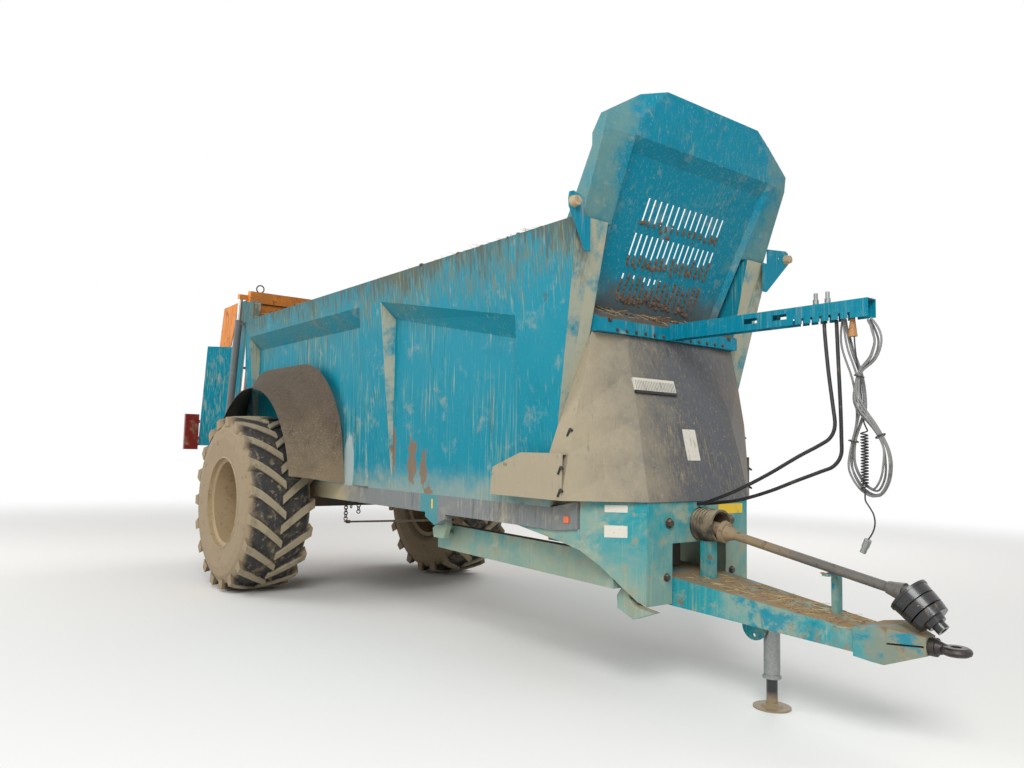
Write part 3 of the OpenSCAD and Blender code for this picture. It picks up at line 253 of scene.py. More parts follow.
def make_groups():
    amount = ("Amount", 1.0)
    ends = [("Full", 0.0), ("Gone", 1.0)]
    return {
        "runs": group("Runs", [("Density", 14.0), ("Stretch", 0.05), ("Cover", 0.4), ("Amount", 0.5),
                               ("Full", -10.0), ("Gone", -11.0)], make_runs),
        "blotches": group("Blotches", [("Scale", 3.0), ("Cover", 0.4), ("Softness", 0.1), amount], make_blotches),
        "fade": group("Fade", [("Direction", UP), *ends, ("Ragged", 0.3), amount], make_fade),
        "ring": group("Ring", [*ends, ("Ragged", 0.05), amount], make_ring),
        "facing": group("Facing", [("Direction", UP), ("Scale", 6.0), amount], make_facing),
        "patch": group("Patch", [("Place", (0.0, 0.0, 0.0)), ("Size", (1.0, 1.0, 1.0)), ("Ragged", 1.4), amount],
                       make_patch),
        "grain": group("Grain", [("Scale", 40.0), ("Strength", 0.2), ("Dents", 0.0)], make_grain, "Normal")}


GROUPS = {}

# Ways along a direction, in the frame of the machine
AHEAD, BACK = (1.0, 0.0, 0.0), (-1.0, 0.0, 0.0)
LEFT, RIGHT = (0.0, 1.0, 0.0), (0.0, -1.0, 0.0)
UP, DOWN = (0.0, 0.0, 1.0), (0.0, 0.0, -1.0)


# Layers of a finish: a mask group with its values, then the colour and the roughness that it lays over the rest

def blotches(scale, cover, softness, amount, over, dull=0.85):
    return "blotches", {"Scale": scale, "Cover": cover, "Softness": softness, "Amount": amount}, over, dull


def runs(density, stretch, cover, amount, over, dull=0.85, full=-10.0, gone=-11.0):
    return "runs", {"Density": density, "Stretch": stretch, "Cover": cover, "Amount": amount, "Full": full,
                    "Gone": gone}, over, dull


def fade(full, gone, ragged, amount, over, dull=0.85, way=UP):
    return "fade", {"Direction": way, "Full": full, "Gone": gone, "Ragged": ragged, "Amount": amount}, over, dull


def ring(full, gone, ragged, amount, over, dull=0.85):
    return "ring", {"Full": full, "Gone": gone, "Ragged": ragged, "Amount": amount}, over, dull


def facing(scale, amount, over, dull=0.85, way=UP):
    return "facing", {"Direction": way, "Scale": scale, "Amount": amount}, over, dull


def patch(place, size, ragged, amount, over, dull=0.85):
    return "patch", {"Place": tuple(place), "Size": size, "Ragged": ragged, "Amount": amount}, over, dull


def finish(name, base, roughness, layers, grain, dents=0.0, centre=None, metallic=0.0, coat=0.0, shine=0.5):
    """A procedural finish: a base colour under layers of dirt, and on the box a patch of painted sunlight, with
    the scale and the strength of its grain.
    """
    material = bpy.data.materials.new(name)
    tree = bare_tree(material)
    place = add(tree, "ShaderNodeTexCoord").outputs["Object"]
    if centre is not None:
        place = add(tree, "ShaderNodeMapping", {"Vector": place, "Location": tuple(-c for c in centre)}).outputs[0]

    def mask(kind, values):
        return add(tree, "ShaderNodeGroup", {"Vector": place, **values}, node_tree=GROUPS[kind]).outputs[0]

    tone = mask("blotches", {"Scale": 2.3, "Cover": 0.55, "Softness": 0.35, "Amount": 1.0})
    deeper = tuple(c * 0.76 for c in base)
    shade = add(tree, "ShaderNodeMix", {0: tone, 6: (*base, 1.0), 7: (*deeper, 1.0)}, data_type="RGBA").outputs[2]
    rough = add(tree, "ShaderNodeMix", {0: tone, 2: roughness, 3: min(1.0, roughness + 0.08)}).outputs[0]
    for kind, values, over, dull in layers:
        cover = mask(kind, values)
        shade = add(tree, "ShaderNodeMix", {0: cover, 6: shade, 7: (*over, 1.0)}, data_type="RGBA").outputs[2]
        rough = add(tree, "ShaderNodeMix", {0: cover, 2: rough, 3: dull}).outputs[0]
    bumps = mask("grain", {"Scale": grain[0], "Strength": grain[1], "Dents": dents})
    shader = add(tree, "ShaderNodeBsdfPrincipled", {"Base Color": shade, "Roughness": rough, "Metallic": metallic,
                                                    "Specular IOR Level": shine, "Normal": bumps})
    if coat:
        shader.inputs["Coat Weight"].default_value = coat
        shader.inputs["Coat Roughness"].default_value = 0.12
    add(tree, "ShaderNodeOutputMaterial", {"Surface": shader.outputs[0]})
    return material


FINISHES = {}
# Rust on the side wall: X, height, width and length of each mark
RUST_MARKS = ((2.60, 1.40, 0.07, 0.2), (2.79, 1.33, 0.06, 0.16), (2.86, 1.12, 0.06, 0.12), (2.30, 1.5, 0.03, 0.2))


def make_finishes():
    colours = bpy.context.scene.spreader_colours
    hue = {name: tuple(getattr(colours, name)) for name in colours.__annotations__}
    dust, mud, rust, manure = hue["dust"], hue["mud"], hue["rust"], hue["manure"]
    grime = tint(82, 78, 64)
    straw = tint(186, 162, 112)
    tan = tint(156, 138, 110)

    def paint(name, base, streaks, haze, rusty, extra):
        deep = tuple(c * 0.5 for c in base)
        return finish(name, base, 0.42, [
            blotches(0.8, 0.55, 0.3, 0.4 * haze, tint(76, 148, 150), 0.6),
            runs(30, 0.05, 0.42, 0.6 * streaks, deep, 0.5),
            runs(64, 0.035, 0.52, 0.6 * streaks, tint(132, 160, 142), 0.8),
            runs(24, 0.06, 0.34, 0.7 * streaks, dust, 0.8),
            blotches(5, 0.42, 0.14, 0.7 * haze, dust),
            blotches(46, 0.3, 0.06, 0.5 * haze, mud),
            blotches(2.6, 0.13 * rusty, 0.04, 0.85, rust, 0.8),
            blotches(24, 0.12 * rusty, 0.03, 0.8, rust, 0.8),
            *extra], grain=(70, 0.14), dents=0.5, shine=0.12)

    made = {}
    made["box"] = paint("Box paint", hue["body"], 1.0, 0.45, 0.6, [
        facing(5, 0.72, dust, way=AHEAD),
        fade(1.12, 1.4, 0.5, 0.45, dust),
        runs(58, 0.05, 0.9, 0.6, tint(112, 112, 90), 0.8, full=3.0, gone=1.9),
        runs(30, 0.1, 0.95, 0.6, grime, 0.8, full=3.04, gone=2.5),
        blotches(6, 0.2, 0.06, 0.7, grime),
        *(patch(spot(x, -0.83, z), (wide, 0.3, tall), 3.0, 0.8, tint(132, 98, 66))
          for x, z, wide, tall in RUST_MARKS),
        # A pale, near-white patch low on the right wall by the foot of the middle pillar: painted sunlight
        patch(spot(1.44, -0.86, 1.32), (0.12, 0.2, 0.34), 0.5, 0.7, tint(176, 184, 180), 0.5),
        facing(3, 0.95, manure, way=LEFT)])
    made["hood"] = paint("Hood paint", hue["hood"], 0.35, 0.25, 0.25, [
        fade(0.95, 0.55, 1.5, 0.6, tint(116, 140, 128), 0.8, way=LEFT),
        fade(0.95, 0.55, 1.5, 0.6, tint(116, 140, 128), 0.8, way=RIGHT),
        blotches(9, 0.4, 0.16, 0.3, dust, 0.8),
        blotches(52, 0.34, 0.08, 0.35, dust),
        fade(2.52, 2.72, 0.5, 0.7, manure, 0.9),
        facing(4, 0.9, manure, 0.9, way=BACK)])
    made["wall"] = paint("Front wall paint", hue["body"], 0.8, 0.7, 0.7, [
        facing(4, 0.8, dust, way=AHEAD),
        facing(3, 0.95, manure, 0.9, way=BACK)])
    made["ledge"] = paint("Ledge paint", hue["hood"], 0.8, 0.8, 0.5, [
        facing(7, 0.95, manure, 0.9)])
    made["gear"] = paint("Frame paint", hue["running_gear"], 0.8, 0.95, 0.9, [
        blotches(2, 0.85, 0.25, 0.66, tint(160, 162, 138)),
        fade(0.5, 1.1, 0.9, 0.5, tint(160, 162, 138)),
        blotches(13, 0.45, 0.1, 0.55, tint(158, 142, 112)),
        facing(5, 0.85, mud, 0.9)])
    made["arm"] = paint("Hose arm paint", hue["hood"], 0.4, 0.35, 0.8, [
        facing(5, 0.5, mud, 0.9),
        facing(9, 0.8, tint(96, 74, 56), 0.9, way=DOWN)])
    made["drawbar"] = paint("Drawbar paint", hue["running_gear"], 0.8, 1.0, 1.3, [
        blotches(2.4, 0.7, 0.2, 0.62, tint(158, 160, 136)),
        blotches(4.4, 0.44, 0.12, 0.75, tint(142, 116, 84)),
        blotches(13, 0.42, 0.1, 0.55, tint(158, 142, 112)),
        fade(4.14, 3.9, 0.6, 0.6, tint(150, 124, 90), way=AHEAD),
        blotches(3.6, 0.5, 0.07, 0.85, hue["body"], 0.5),
        blotches(9, 0.3, 0.06, 0.8, tint(128, 98, 66)),
        facing(6, 1.0, tint(140, 118, 88), 0.9)])
    made["orange"] = finish("Orange paint", hue["orange"], 0.5, [
        runs(40, 0.06, 0.5, 0.6, tint(132, 74, 30), 0.7),
        blotches(5, 0.36, 0.06, 0.85, rust, 0.8),
        blotches(26, 0.3, 0.05, 0.8, tint(86, 58, 38), 0.8),
        blotches(1.6, 0.45, 0.25, 0.6, mud),
        facing(3, 0.4, manure, way=AHEAD)], grain=(60, 0.25), dents=0.3)
    made["cover"] = finish("Cover plastic", hue["cover"], 0.5, [
        runs(34, 0.05, 0.5, 0.6, tint(44, 46, 52), 0.45),
        runs(64, 0.06, 0.56, 0.62, tint(132, 122, 104), 0.8),
        runs(18, 0.1, 0.34, 0.6, tint(150, 136, 108)),
        fade(0.95, -0.05, 1.0, 0.85, tint(166, 154, 128), 0.9, way=RIGHT),
        fade(1.1, 0.3, 1.0, 0.6, mud, 0.9, way=LEFT),
        runs(46, 0.05, 0.4, 0.55, tint(92, 92, 92), 0.7),
        blotches(40, 0.4, 0.1, 0.35, tint(172, 156, 124), 0.9),
        runs(42, 0.08, 0.36, 0.45, tint(66, 66, 68), 0.7),
        blotches(14, 0.22, 0.05, 0.6, tint(60, 54, 46), 0.9)], grain=(90, 0.35), dents=0.4)
    made["wing"] = paint("Wing paint", hue["body"], 1.0, 0.4, 0.6, [
        fade(1.2, 1.6, 0.6, 0.4, mud)])
    made["mudguard"] = finish("Mudguard plastic", hue["mudguard"], 0.7, [
        blotches(70, 0.5, 0.08, 0.45, tint(150, 132, 104), 0.9),
        runs(30, 0.1, 0.5, 0.5, tint(52, 42, 32), 0.9),
        blotches(4, 0.4, 0.2, 0.5, tint(58, 46, 34), 0.9),
        fade(2.0, 1.4, 0.9, 0.6, tint(56, 45, 34)),
        fade(1.1, 1.6, 0.9, 0.5, mud, 0.9)], grain=(56, 0.9), dents=0.3)
    made["rim"] = finish("Rim paint", tint(158, 138, 106), 0.65, [
        blotches(6, 0.5, 0.2, 0.6, tint(124, 104, 78), 0.9),
        blotches(26, 0.36, 0.06, 0.6, rust)], grain=(50, 0.5), dents=0.1)
    made["steel"] = finish("Dark steel", tint(70, 66, 60), 0.55, [
        blotches(6, 0.5, 0.2, 0.6, rust),
        blotches(2.5, 0.5, 0.25, 0.6, mud, 0.9),
        facing(6, 0.8, mud, 0.9)], grain=(55, 0.5), dents=0.1, metallic=0.35)
    made["eye"] = finish("Towing eye steel", tint(64, 60, 58), 0.42, [
        blotches(14, 0.4, 0.15, 0.6, rust, 0.8),
        blotches(5, 0.4, 0.2, 0.6, mud, 0.9)], grain=(80, 0.4), metallic=0.7)
    made["sill"] = finish("Sill paint", tint(112, 116, 116), 0.7, [
        runs(26, 0.1, 0.45, 0.6, tint(66, 72, 80), 0.8),
        runs(62, 0.1, 0.5, 0.6, tint(168, 160, 138)),
        blotches(4, 0.45, 0.2, 0.6, dust, 0.9),
        blotches(11, 0.2, 0.05, 0.7, rust),
        fade(1.0, 0.5, 0.8, 0.8, tint(172, 158, 124), 0.9, way=BACK),
        patch(spot(2.88, 0.0, 1.05), (0.17, 2.0, 1.0), 0.2, 0.9, tint(40, 128, 136), 0.5)],
        grain=(50, 0.5), dents=0.2)
    made["floor"] = finish("Worn floor", tint(104, 84, 62), 0.7, [
        blotches(1.6, 0.6, 0.2, 0.8, manure),
        blotches(14, 0.4, 0.1, 0.5, tint(60, 50, 38), 0.9)], grain=(40, 0.7), metallic=0.2)
    made["zinc"] = finish("Zinc", tint(150, 153, 150), 0.4, [
        blotches(60, 0.6, 0.1, 0.3, tint(112, 116, 114), 0.55),
        blotches(7, 0.45, 0.2, 0.6, mud)], grain=(80, 0.15), metallic=0.75)
    made["rod"] = finish("Bright rod", tint(190, 190, 188), 0.22, [
        blotches(12, 0.3, 0.2, 0.4, mud, 0.7)], grain=(60, 0.05), metallic=0.9)
    made["leg"] = finish("Jack leg", tint(30, 30, 32), 0.25, [
        blotches(10, 0.3, 0.15, 0.5, mud, 0.8),
        fade(0.06, 0.12, 0.12, 0.9, mud, 0.9)], grain=(60, 0.2), coat=0.4)
    made["barrel"] = finish("Cylinder barrel", tint(92, 96, 96), 0.5, [
        runs(30, 0.1, 0.4, 0.6, tint(52, 50, 46), 0.6),
        blotches(5, 0.5, 0.2, 0.6, mud)], grain=(50, 0.3))
    made["bell"] = finish("Black shaft guard", tint(28, 28, 30), 0.3, [
        runs(30, 0.4, 0.3, 0.6, mud),
        blotches(16, 0.3, 0.1, 0.6, dust)], grain=(60, 0.2), coat=0.3)
    made["shaft"] = finish("Dusty shaft tube", tint(96, 93, 88), 0.6, [
        fade(-3.1, -3.6, 0.4, 0.8, tint(150, 128, 96), 0.9, way=BACK),
        blotches(9, 0.5, 0.2, 0.7, tint(128, 114, 90), 0.9),
        blotches(30, 0.4, 0.08, 0.6, tint(52, 46, 40), 0.7)], grain=(60, 0.5))
    made["barrel_guard"] = finish("Ribbed guard", tint(62, 59, 54), 0.6, [
        facing(9, 0.8, dust, 0.9),
        blotches(7, 0.75, 0.2, 0.8, tint(140, 124, 98), 0.9),
        blotches(22, 0.4, 0.06, 0.7, tint(60, 56, 50), 0.8)], grain=(60, 0.4))
    made["lens"] = finish("Dirty red lens", tint(120, 32, 24), 0.3, [
        blotches(10, 0.55, 0.2, 0.8, mud)], grain=(60, 0.3))
    made["marker"] = finish("Dusty lamp", tint(168, 150, 118), 0.6, [
        blotches(14, 0.5, 0.15, 0.75, tint(112, 88, 62))], grain=(70, 0.6))
    made["hose"] = finish("Hose rubber", tint(30, 30, 31), 0.42, [
        blotches(10, 0.4, 0.2, 0.45, mud, 0.8)], grain=(120, 0.15))
    made["sleeve"] = finish("Grey hose sleeve", hue["sleeve"], 0.75, [
        blotches(14, 0.5, 0.2, 0.6, tint(74, 74, 70), 0.8),
        blotches(30, 0.4, 0.1, 0.5, dust)], grain=(260, 0.6))
    made["cone"] = finish("Faded brown plastic", tint(170, 122, 74), 0.55, [
        blotches(18, 0.45, 0.2, 0.5, tint(120, 84, 50), 0.7)], grain=(80, 0.3))
    made["white"] = finish("White plate", tint(204, 200, 188), 0.55, [
        runs(30, 0.2, 0.5, 0.6, mud, 0.8),
        blotches(30, 0.3, 0.05, 0.6, tint(120, 108, 90), 0.8)], grain=(80, 0.1))
    made["yellow"] = finish("Yellow plate", tint(222, 186, 40), 0.5, [
        blotches(24, 0.4, 0.1, 0.6, mud, 0.8)], grain=(80, 0.1))
    made["amber"] = finish("Amber reflector", tint(226, 96, 20), 0.3, [
        blotches(40, 0.3, 0.1, 0.4, mud, 0.8)], grain=(300, 0.4), coat=0.5)
    made["clods"] = finish("Dried manure", manure, 0.95, [
        blotches(24, 0.5, 0.15, 0.7, tint(136, 108, 82), 0.95),
        blotches(60, 0.45, 0.1, 0.6, tint(62, 48, 38), 0.95)], grain=(90, 1.4))
    made["crumbs"] = finish("Dried mud", tint(140, 118, 88), 0.95, [
        blotches(20, 0.5, 0.15, 0.7, tint(116, 92, 66), 0.95)], grain=(90, 1.4))
    made["straw"] = finish("Straw", straw, 0.8, [
        blotches(12, 0.5, 0.15, 0.7, tint(118, 96, 64))], grain=(200, 0.3))
    for side, y in (("right", -1.22), ("left", 1.22)):
        out = math.copysign(1.0, y)
        made["tyre_" + side] = finish("Tyre " + side, hue["rubber"], 0.75, [
            blotches(5, 0.5, 0.15, 0.75, tint(126, 112, 90), 0.92),
            blotches(16, 0.42, 0.1, 0.6, tan, 0.92),
            fade(0.31, 0.25, 0.08, 0.85, tan, 0.92, way=(0.0, out, 0.0)),
            fade(0.31, 0.25, 0.08, 0.85, tan, 0.92, way=(0.0, -out, 0.0)),
            ring(0.888, 0.872, 0.03, 0.75, tint(170, 156, 128), 0.92),
            blotches(12, 0.4, 0.12, 0.55, tint(96, 82, 64), 0.92)], grain=(38, 0.9), centre=spot(0.0, y, 0.9))
    FINISHES.update(made)


# Nodes of each finish, without their sides. The rest have the frame paint
FINISH_NODES = {
    "floor": ("floor",), "box": ("side_wall", "rear_pillars", "rotor_plate", "rotor_top_beam"),
    "wall": ("front_wall",), "hood": ("hood",), "ledge": ("hood_ledge",), "cover": ("front_cover",),
    "arm": ("marker_brackets", "hose_arm"), "marker": ("marker_lamps",), "sill": ("sills",),
    "drawbar": ("drawbar",), "eye": ("towing_eye",), "leg": ("jack_leg",),
    "zinc": ("jack_tube", "hose_couplers", "lead_plug"),
    "steel": ("floor_chains", "axle_beam", "rotor_gearbox", "drive_gearbox", "driveline"),
    "rim": ("wheel_hub", "rim"), "tyre_right": ("tyre_right",), "tyre_left": ("tyre_left",),
    "mudguard": ("mudguard",), "orange": ("gate", "rotor", "top_guards"), "rod": ("gate_rods",),
    "barrel": ("gate_barrels",), "wing": ("wings",), "lens": ("rear_lamps",), "barrel_guard": ("drive_guard",),
    "shaft": ("drive_shaft",), "bell": ("shaft_bell",), "cone": ("dust_cone",)}
NODE_FINISH = {node: finish_name for finish_name, nodes in FINISH_NODES.items() for node in nodes}


# Making pieces

def linked(name, data):
    """An object of the scene."""
    made = bpy.data.objects.new(name, data)
    bpy.context.scene.collection.objects.link(made)
    return made


def piece(name, shape, finish_name, body="frame", smooth=True):
    """A finished piece from a bmesh, riding on its body."""
    bmesh.ops.recalc_face_normals(shape, faces=shape.faces)
    mesh = bpy.data.meshes.new(name)
    shape.to_mesh(mesh)
    shape.free()
    if smooth:
        mesh.set_sharp_from_angle(angle=math.radians(35))
    mesh.materials.append(FINISHES[finish_name])
    made = linked(name, mesh)
    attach(made, body)
    return made


def on_face(node, start, towards):
    """Where a line from start meets a node, with the way that the face looks."""
    found, at, out, _ = NODES[node].ray_cast(start, Vector(towards).normalized())
    return (at, -out if out.dot(Vector(towards)) > 0 else out) if found else (None, None)


def turned(direction):
    """A matrix that turns Z to a direction."""
    return Vector(direction).to_track_quat("Z", "Y").to_matrix().to_4x4()


def placed(at, direction=(0, 0, 1)):
    return Matrix.Translation(at) @ turned(direction)


def add_bar(shape, a, b, radius, sides=12):
    """A round bar from a to b."""
    a, b = Vector(a), Vector(b)
    bmesh.ops.create_cone(shape, cap_ends=True, segments=sides, radius1=radius, radius2=radius,
                          depth=(b - a).length, matrix=placed((a + b) / 2, b - a))


def add_bolt(shape, at, direction, width):
    """A hexagon head on its washer."""
    out = Vector(direction).normalized()
    bmesh.ops.create_cone(shape, cap_ends=True, segments=16, radius1=width * 0.82, radius2=width * 0.78,
                          depth=width * 0.12, matrix=placed(at + out * width * 0.06, out))
    head = bmesh.ops.create_cone(shape, cap_ends=True, segments=6, radius1=width * 0.577, radius2=width * 0.577,
                                 depth=width * 0.5, matrix=placed(at + out * width * 0.36, out))
    top = [e for e in {e for v in head["verts"] for e in v.link_edges}
           if all((v.co - at).dot(out) > width * 0.5 for v in e.verts)]
    bmesh.ops.bevel(shape, geom=top, offset=width * 0.06, segments=1, profile=0.5, affect="EDGES", material=-1)


def add_ring(shape, at, normal, radius, wire, sides=28):
    """A ring of round wire."""
    before = set(shape.verts)
    upright = Matrix.Translation((radius, 0, 0)) @ Matrix.Rotation(math.pi / 2, 4, "X")
    circle = bmesh.ops.create_circle(shape, cap_ends=False, segments=10, radius=wire, matrix=upright)
    edges = list({e for v in circle["verts"] for e in v.link_edges})
    bmesh.ops.spin(shape, geom=circle["verts"] + edges, cent=(0, 0, 0), axis=UP, angle=math.tau, steps=sides,
                   use_merge=True)
    bmesh.ops.transform(shape, matrix=placed(at, normal), verts=[v for v in shape.verts if v not in before])


def plate(at, out, width, height, depth, corner=0.004):
    """An upright flat plate with rounded corners that lies on a face and looks out from it."""
    out = out.normalized()
    up = (Vector(UP) - out * out.z).normalized()
    turn = Matrix((up.cross(out), up, out)).transposed().to_4x4()
    shape = bmesh.new()
    flat = bmesh.ops.create_grid(shape, x_segments=1, y_segments=1, size=0.5,
                                 matrix=Matrix.Diagonal((width, height, 1, 1)))
    bmesh.ops.bevel(shape, geom=flat["verts"], offset=corner, segments=4, profile=0.5, affect="VERTICES",
                    material=-1)
    solid = bmesh.ops.extrude_face_region(shape, geom=list(shape.faces))
    raised = [g for g in solid["geom"] if isinstance(g, bmesh.types.BMVert)]
    bmesh.ops.translate(shape, verts=raised, vec=(0, 0, depth))
    bmesh.ops.transform(shape, matrix=Matrix.Translation(at) @ turn, verts=shape.verts)
    return shape


def add_clod(shape, chance, at, size):
    """A rough lump, with its size each way."""
    lump = bmesh.ops.create_icosphere(shape, subdivisions=2, radius=1.0)["verts"]
    for v in lump:
        v.co = at + Vector(a * b * chance.uniform(0.7, 1.15) for a, b in zip(v.co, size))


def add_blade(shape, chance, at, out, reach, width):
    """A blade of straw that lies on a face."""
    flat = Vector((chance.uniform(-1, 1), chance.uniform(-1, 1), chance.uniform(-1, 1))).cross(out).normalized()
    along = (flat + out * chance.uniform(-0.1, 0.25)).normalized()
    bmesh.ops.create_cone(shape, cap_ends=True, segments=3, radius1=width, radius2=width * 0.6, depth=reach,
                          matrix=placed(at + out * width, along))


def add_chain(shape, top, foot, wire, radius):
    """A hanging chain of round links."""
    count = max(2, round((top - foot).length / (radius * 1.55)))
    for i in range(count):
        at = top.lerp(foot, (i + 0.5) / count)
        add_ring(shape, at, (1, 0, 0) if i % 2 else (0, 1, 0), radius, wire, sides=14)


def smooth_line(points, steps):
    """A smooth line through the points, with as many steps from each to the next."""
    last = len(points) - 1
    line = []
    for i in range(last):
        a, b, c, d = (points[max(0, min(last, i + k))] for k in (-1, 0, 1, 2))
        for j in range(steps):
            t = j / steps
            bend, twist = 2 * a - 5 * b + 4 * c - d, 3 * b - a - 3 * c + d
            line.append(0.5 * (2 * b + (c - a) * t + bend * t ** 2 + twist * t ** 3))
    return line + [points[last]]


def tube(name, line, width, finish_name, sides=3):
    """A curve of one open spline along a line."""
    curve = bpy.data.curves.new(name, "CURVE")
    curve.dimensions = "3D"
    curve.bevel_depth = width / 2
    curve.bevel_resolution = sides
    curve.use_fill_caps = True
    spline = curve.splines.new("POLY")
    spline.points.add(len(line) - 1)
    for point, at in zip(spline.points, line):
        point.co = (*at, 1.0)
    spline.use_smooth = True
    curve.materials.append(FINISHES[finish_name])
    made = linked(name, curve)
    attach(made, "frame")
    return made


# Place, lens and directions of the camera, solved from the photograph
CAMERA_AT = spot(8.431, -4.30, 1.507)
CAMERA_LENS = 28.23
CAMERA_RIGHT = Vector((0.6129, 0.7901, 0.0229))
CAMERA_UP = Vector((0.0504, -0.0678, 0.9964))
CAMERA_AHEAD = Vector((-0.7888, 0.6096, 0.0813))


class SPREADER_OT_camera(bpy.types.Operator):
    """Add the camera at the right of the drawbar"""
    bl_idname = "spreader.camera"
    bl_label = "Camera"

    def execute(self, context):
        data = bpy.data.cameras.new("camera")
        data.sensor_fit = "HORIZONTAL"
        data.sensor_width = 36.0
        data.lens = CAMERA_LENS
        data.clip_end = 200.0
        camera = linked("camera", data)
        turn = Matrix((CAMERA_RIGHT, CAMERA_UP, -CAMERA_AHEAD)).transposed().to_4x4()
        camera.matrix_world = Matrix.Translation(CAMERA_AT) @ turn
        context.scene.camera = camera
        return {"FINISHED"}


# Routes of the hoses and leads: X from the arm's tip, Y, and Z from the arm's foot, in millimetres
ARM_TIP = spot(6.1417, 0.0, 2.318)
HOSE_FRONT = [(-282, -15, -18), (-276, -15, -120), (-257, -15, -320), (-230, -17, -520), (-217, -20, -630),
              (-243, -24, -700), (-310, -26, -745), (-450, -28, -815), (-660, -30, -930), (-880, -30, -1035),
              (-1050, -30, -1101), (-1150, -30, -1135), (-1195, -30, -1142)]
HOSE_REAR = [(-222, 15, -18), (-218, 15, -120), (-210, 15, -320), (-203, 17, -520), (-201, 20, -700),
             (-207, 24, -800), (-255, 26, -865), (-340, 28, -900), (-500, 29, -960), (-680, 30, -1030),
             (-890, 30, -1095), (-1050, 30, -1124), (-1150, 30, -1137), (-1195, 30, -1141)]
GREY_HOSE = [(-4, -22, -40), (25, -22, -90), (48, -22, -170), (20, -22, -260), (-57, -22, -334), (-76, -22, -430),
             (-62, -22, -522), (20, -22, -640), (72, -20, -740), (84, -16, -830), (53, 18, -929), (-12, 54, -999),
             (-86, 72, -981), (-136, 64, -913), (-155, 52, -837), (-141, 45, -719), (-107, 42, -609),
             (-90, 36, -519), (-107, 32, -360), (-158, 26, -200), (-176, 24, -90), (-177, 22, -18)]
LEAD_TOP = [(-105, 0, -126), (-100, 0, -200), (-84, 2, -330), (-72, 6, -450), (-68, 12, -560)]
LEAD_COIL = [(-67, 22, -606), (-66, 24, -700), (-66, 26, -800), (-67, 26, -900), (-68, 26, -1000),
             (-67, 26, -1041)]
LEAD_END = [(-60, 26, -1060), (-42, 26, -1085), (-20, 26, -1122), (-12, 26, -1165), (-18, 26, -1202),
            (-33, 26, -1235), (-51, 26, -1261)]
# Height of a turn of the curly lead, and the height over which it winds up and unwinds at its ends
COIL_PITCH = 0.0165
COIL_EASE = 0.062
STRANDS = 5
# Shares of the bundle's length where a tie holds it
TIES = (0.2, 0.36, 0.72)


def route(points):
    return [ARM_TIP + Vector(p) / 1000 for p in points]


class SPREADER_OT_hoses(bpy.types.Operator):
    """Add the two black hoses and the bundle of grey ones"""
    bl_idname = "spreader.hoses"
    bl_label = "Hoses"

    def execute(self, context):
        size = context.scene.spreader_sizes
        for name, points in (("hose_front", HOSE_FRONT), ("hose_rear", HOSE_REAR)):
            line = smooth_line(route(points), 4)
            made = tube(name + "_line", line, size.hose, "hose")
            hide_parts(name)
        # Strands that wander round the middle of the bundle, closer together at its ends
        middle = smooth_line(route(GREY_HOSE), 4)
        last = len(middle) - 1
        ties = bmesh.new()
        for k in range(STRANDS):
            line = []
            for i, at in enumerate(middle):
                ahead = (middle[min(i + 1, last)] - middle[max(i - 1, 0)]).normalized()
                across = ahead.cross(Vector((0, 1, 0))).normalized()
                angle = math.tau * k / STRANDS + 0.8 * math.sin(i / 11.0 + k)
                tied = min(1.0, *(abs(i - share * last) / 7 for share in (0.0, 1.0, *TIES)))
                spread = 0.9 + tied * tied * (3 - 2 * tied) * (1.1 + 0.4 * math.sin(i / 9.0 + 2 * k))
                away = across * math.cos(angle) + ahead.cross(across) * math.sin(angle)
                line.append(at + away * size.strand * spread)
            made = tube(f"grey_strand_{k + 1}", line, size.strand, "sleeve")
            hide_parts("grey_hose")
        for share in TIES:
            i = round(share * last)
            add_ring(ties, middle[i], middle[i + 1] - middle[i - 1], size.strand * 2.15, 0.004)
        ties = piece("bundle_ties", ties, "hose")
        return {"FINISHED"}


class SPREADER_OT_curly_lead(bpy.types.Operator):
    """Add the curly lead that hangs from the dust cone to its plug"""
    bl_idname = "spreader.curly_lead"
    bl_label = "Curly lead"

    def execute(self, context):
        size = context.scene.spreader_sizes
        steps = 24
        whole = smooth_line(route(LEAD_TOP + LEAD_COIL + LEAD_END), steps)
        start, end = len(LEAD_TOP) * steps, (len(LEAD_TOP) + len(LEAD_COIL) - 1) * steps
        height = whole[start].z - whole[end].z
        coil, down, angle = [], 0.0, 0.0
        while down < height:
            edge = min(down, height - down)
            wide, wound = (max(0.0, min(1.0, u)) for u in (edge / COIL_EASE, edge / COIL_EASE - 0.5))
            wide, wound = wide * wide * (3 - 2 * wide), wound * wound * (3 - 2 * wound)
            at = whole[start + round((end - start) * down / height)]
            arm = Vector((math.cos(angle), math.sin(angle), 0.0)) * size.coil * wide
            coil.append(Vector((at.x, at.y, whole[start].z - down)) + arm)
            step = min(0.004, COIL_PITCH / 14 / max(wound, 0.1))
            angle += math.tau * wound * step / COIL_PITCH
            down += step
        line = whole[:start:6] + coil + whole[end::6] + whole[-1:]
        made = tube("curly_lead", line, size.lead, "hose", sides=2)
        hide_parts("lead_top", "coiled_lead", "lead_end")
        return {"FINISHED"}


class SPREADER_OT_finishes(bpy.types.Operator):
    """Give each CAD node its finish"""
    bl_idname = "spreader.finishes"
    bl_label = "Finishes"

    def execute(self, context):
        for name, node in NODES.items():
            if node.type != "MESH":
                continue
            stem = name.removesuffix("_right").removesuffix("_left")
            material = FINISHES[NODE_FINISH.get(name, NODE_FINISH.get(stem, "gear"))]
            if not node.material_slots:
                node.data.materials.append(material)
            for slot in node.material_slots:
                slot.material = material
        return {"FINISHED"}


# X ahead of the cover, where lines that look for a face start
FRONT = 5.6
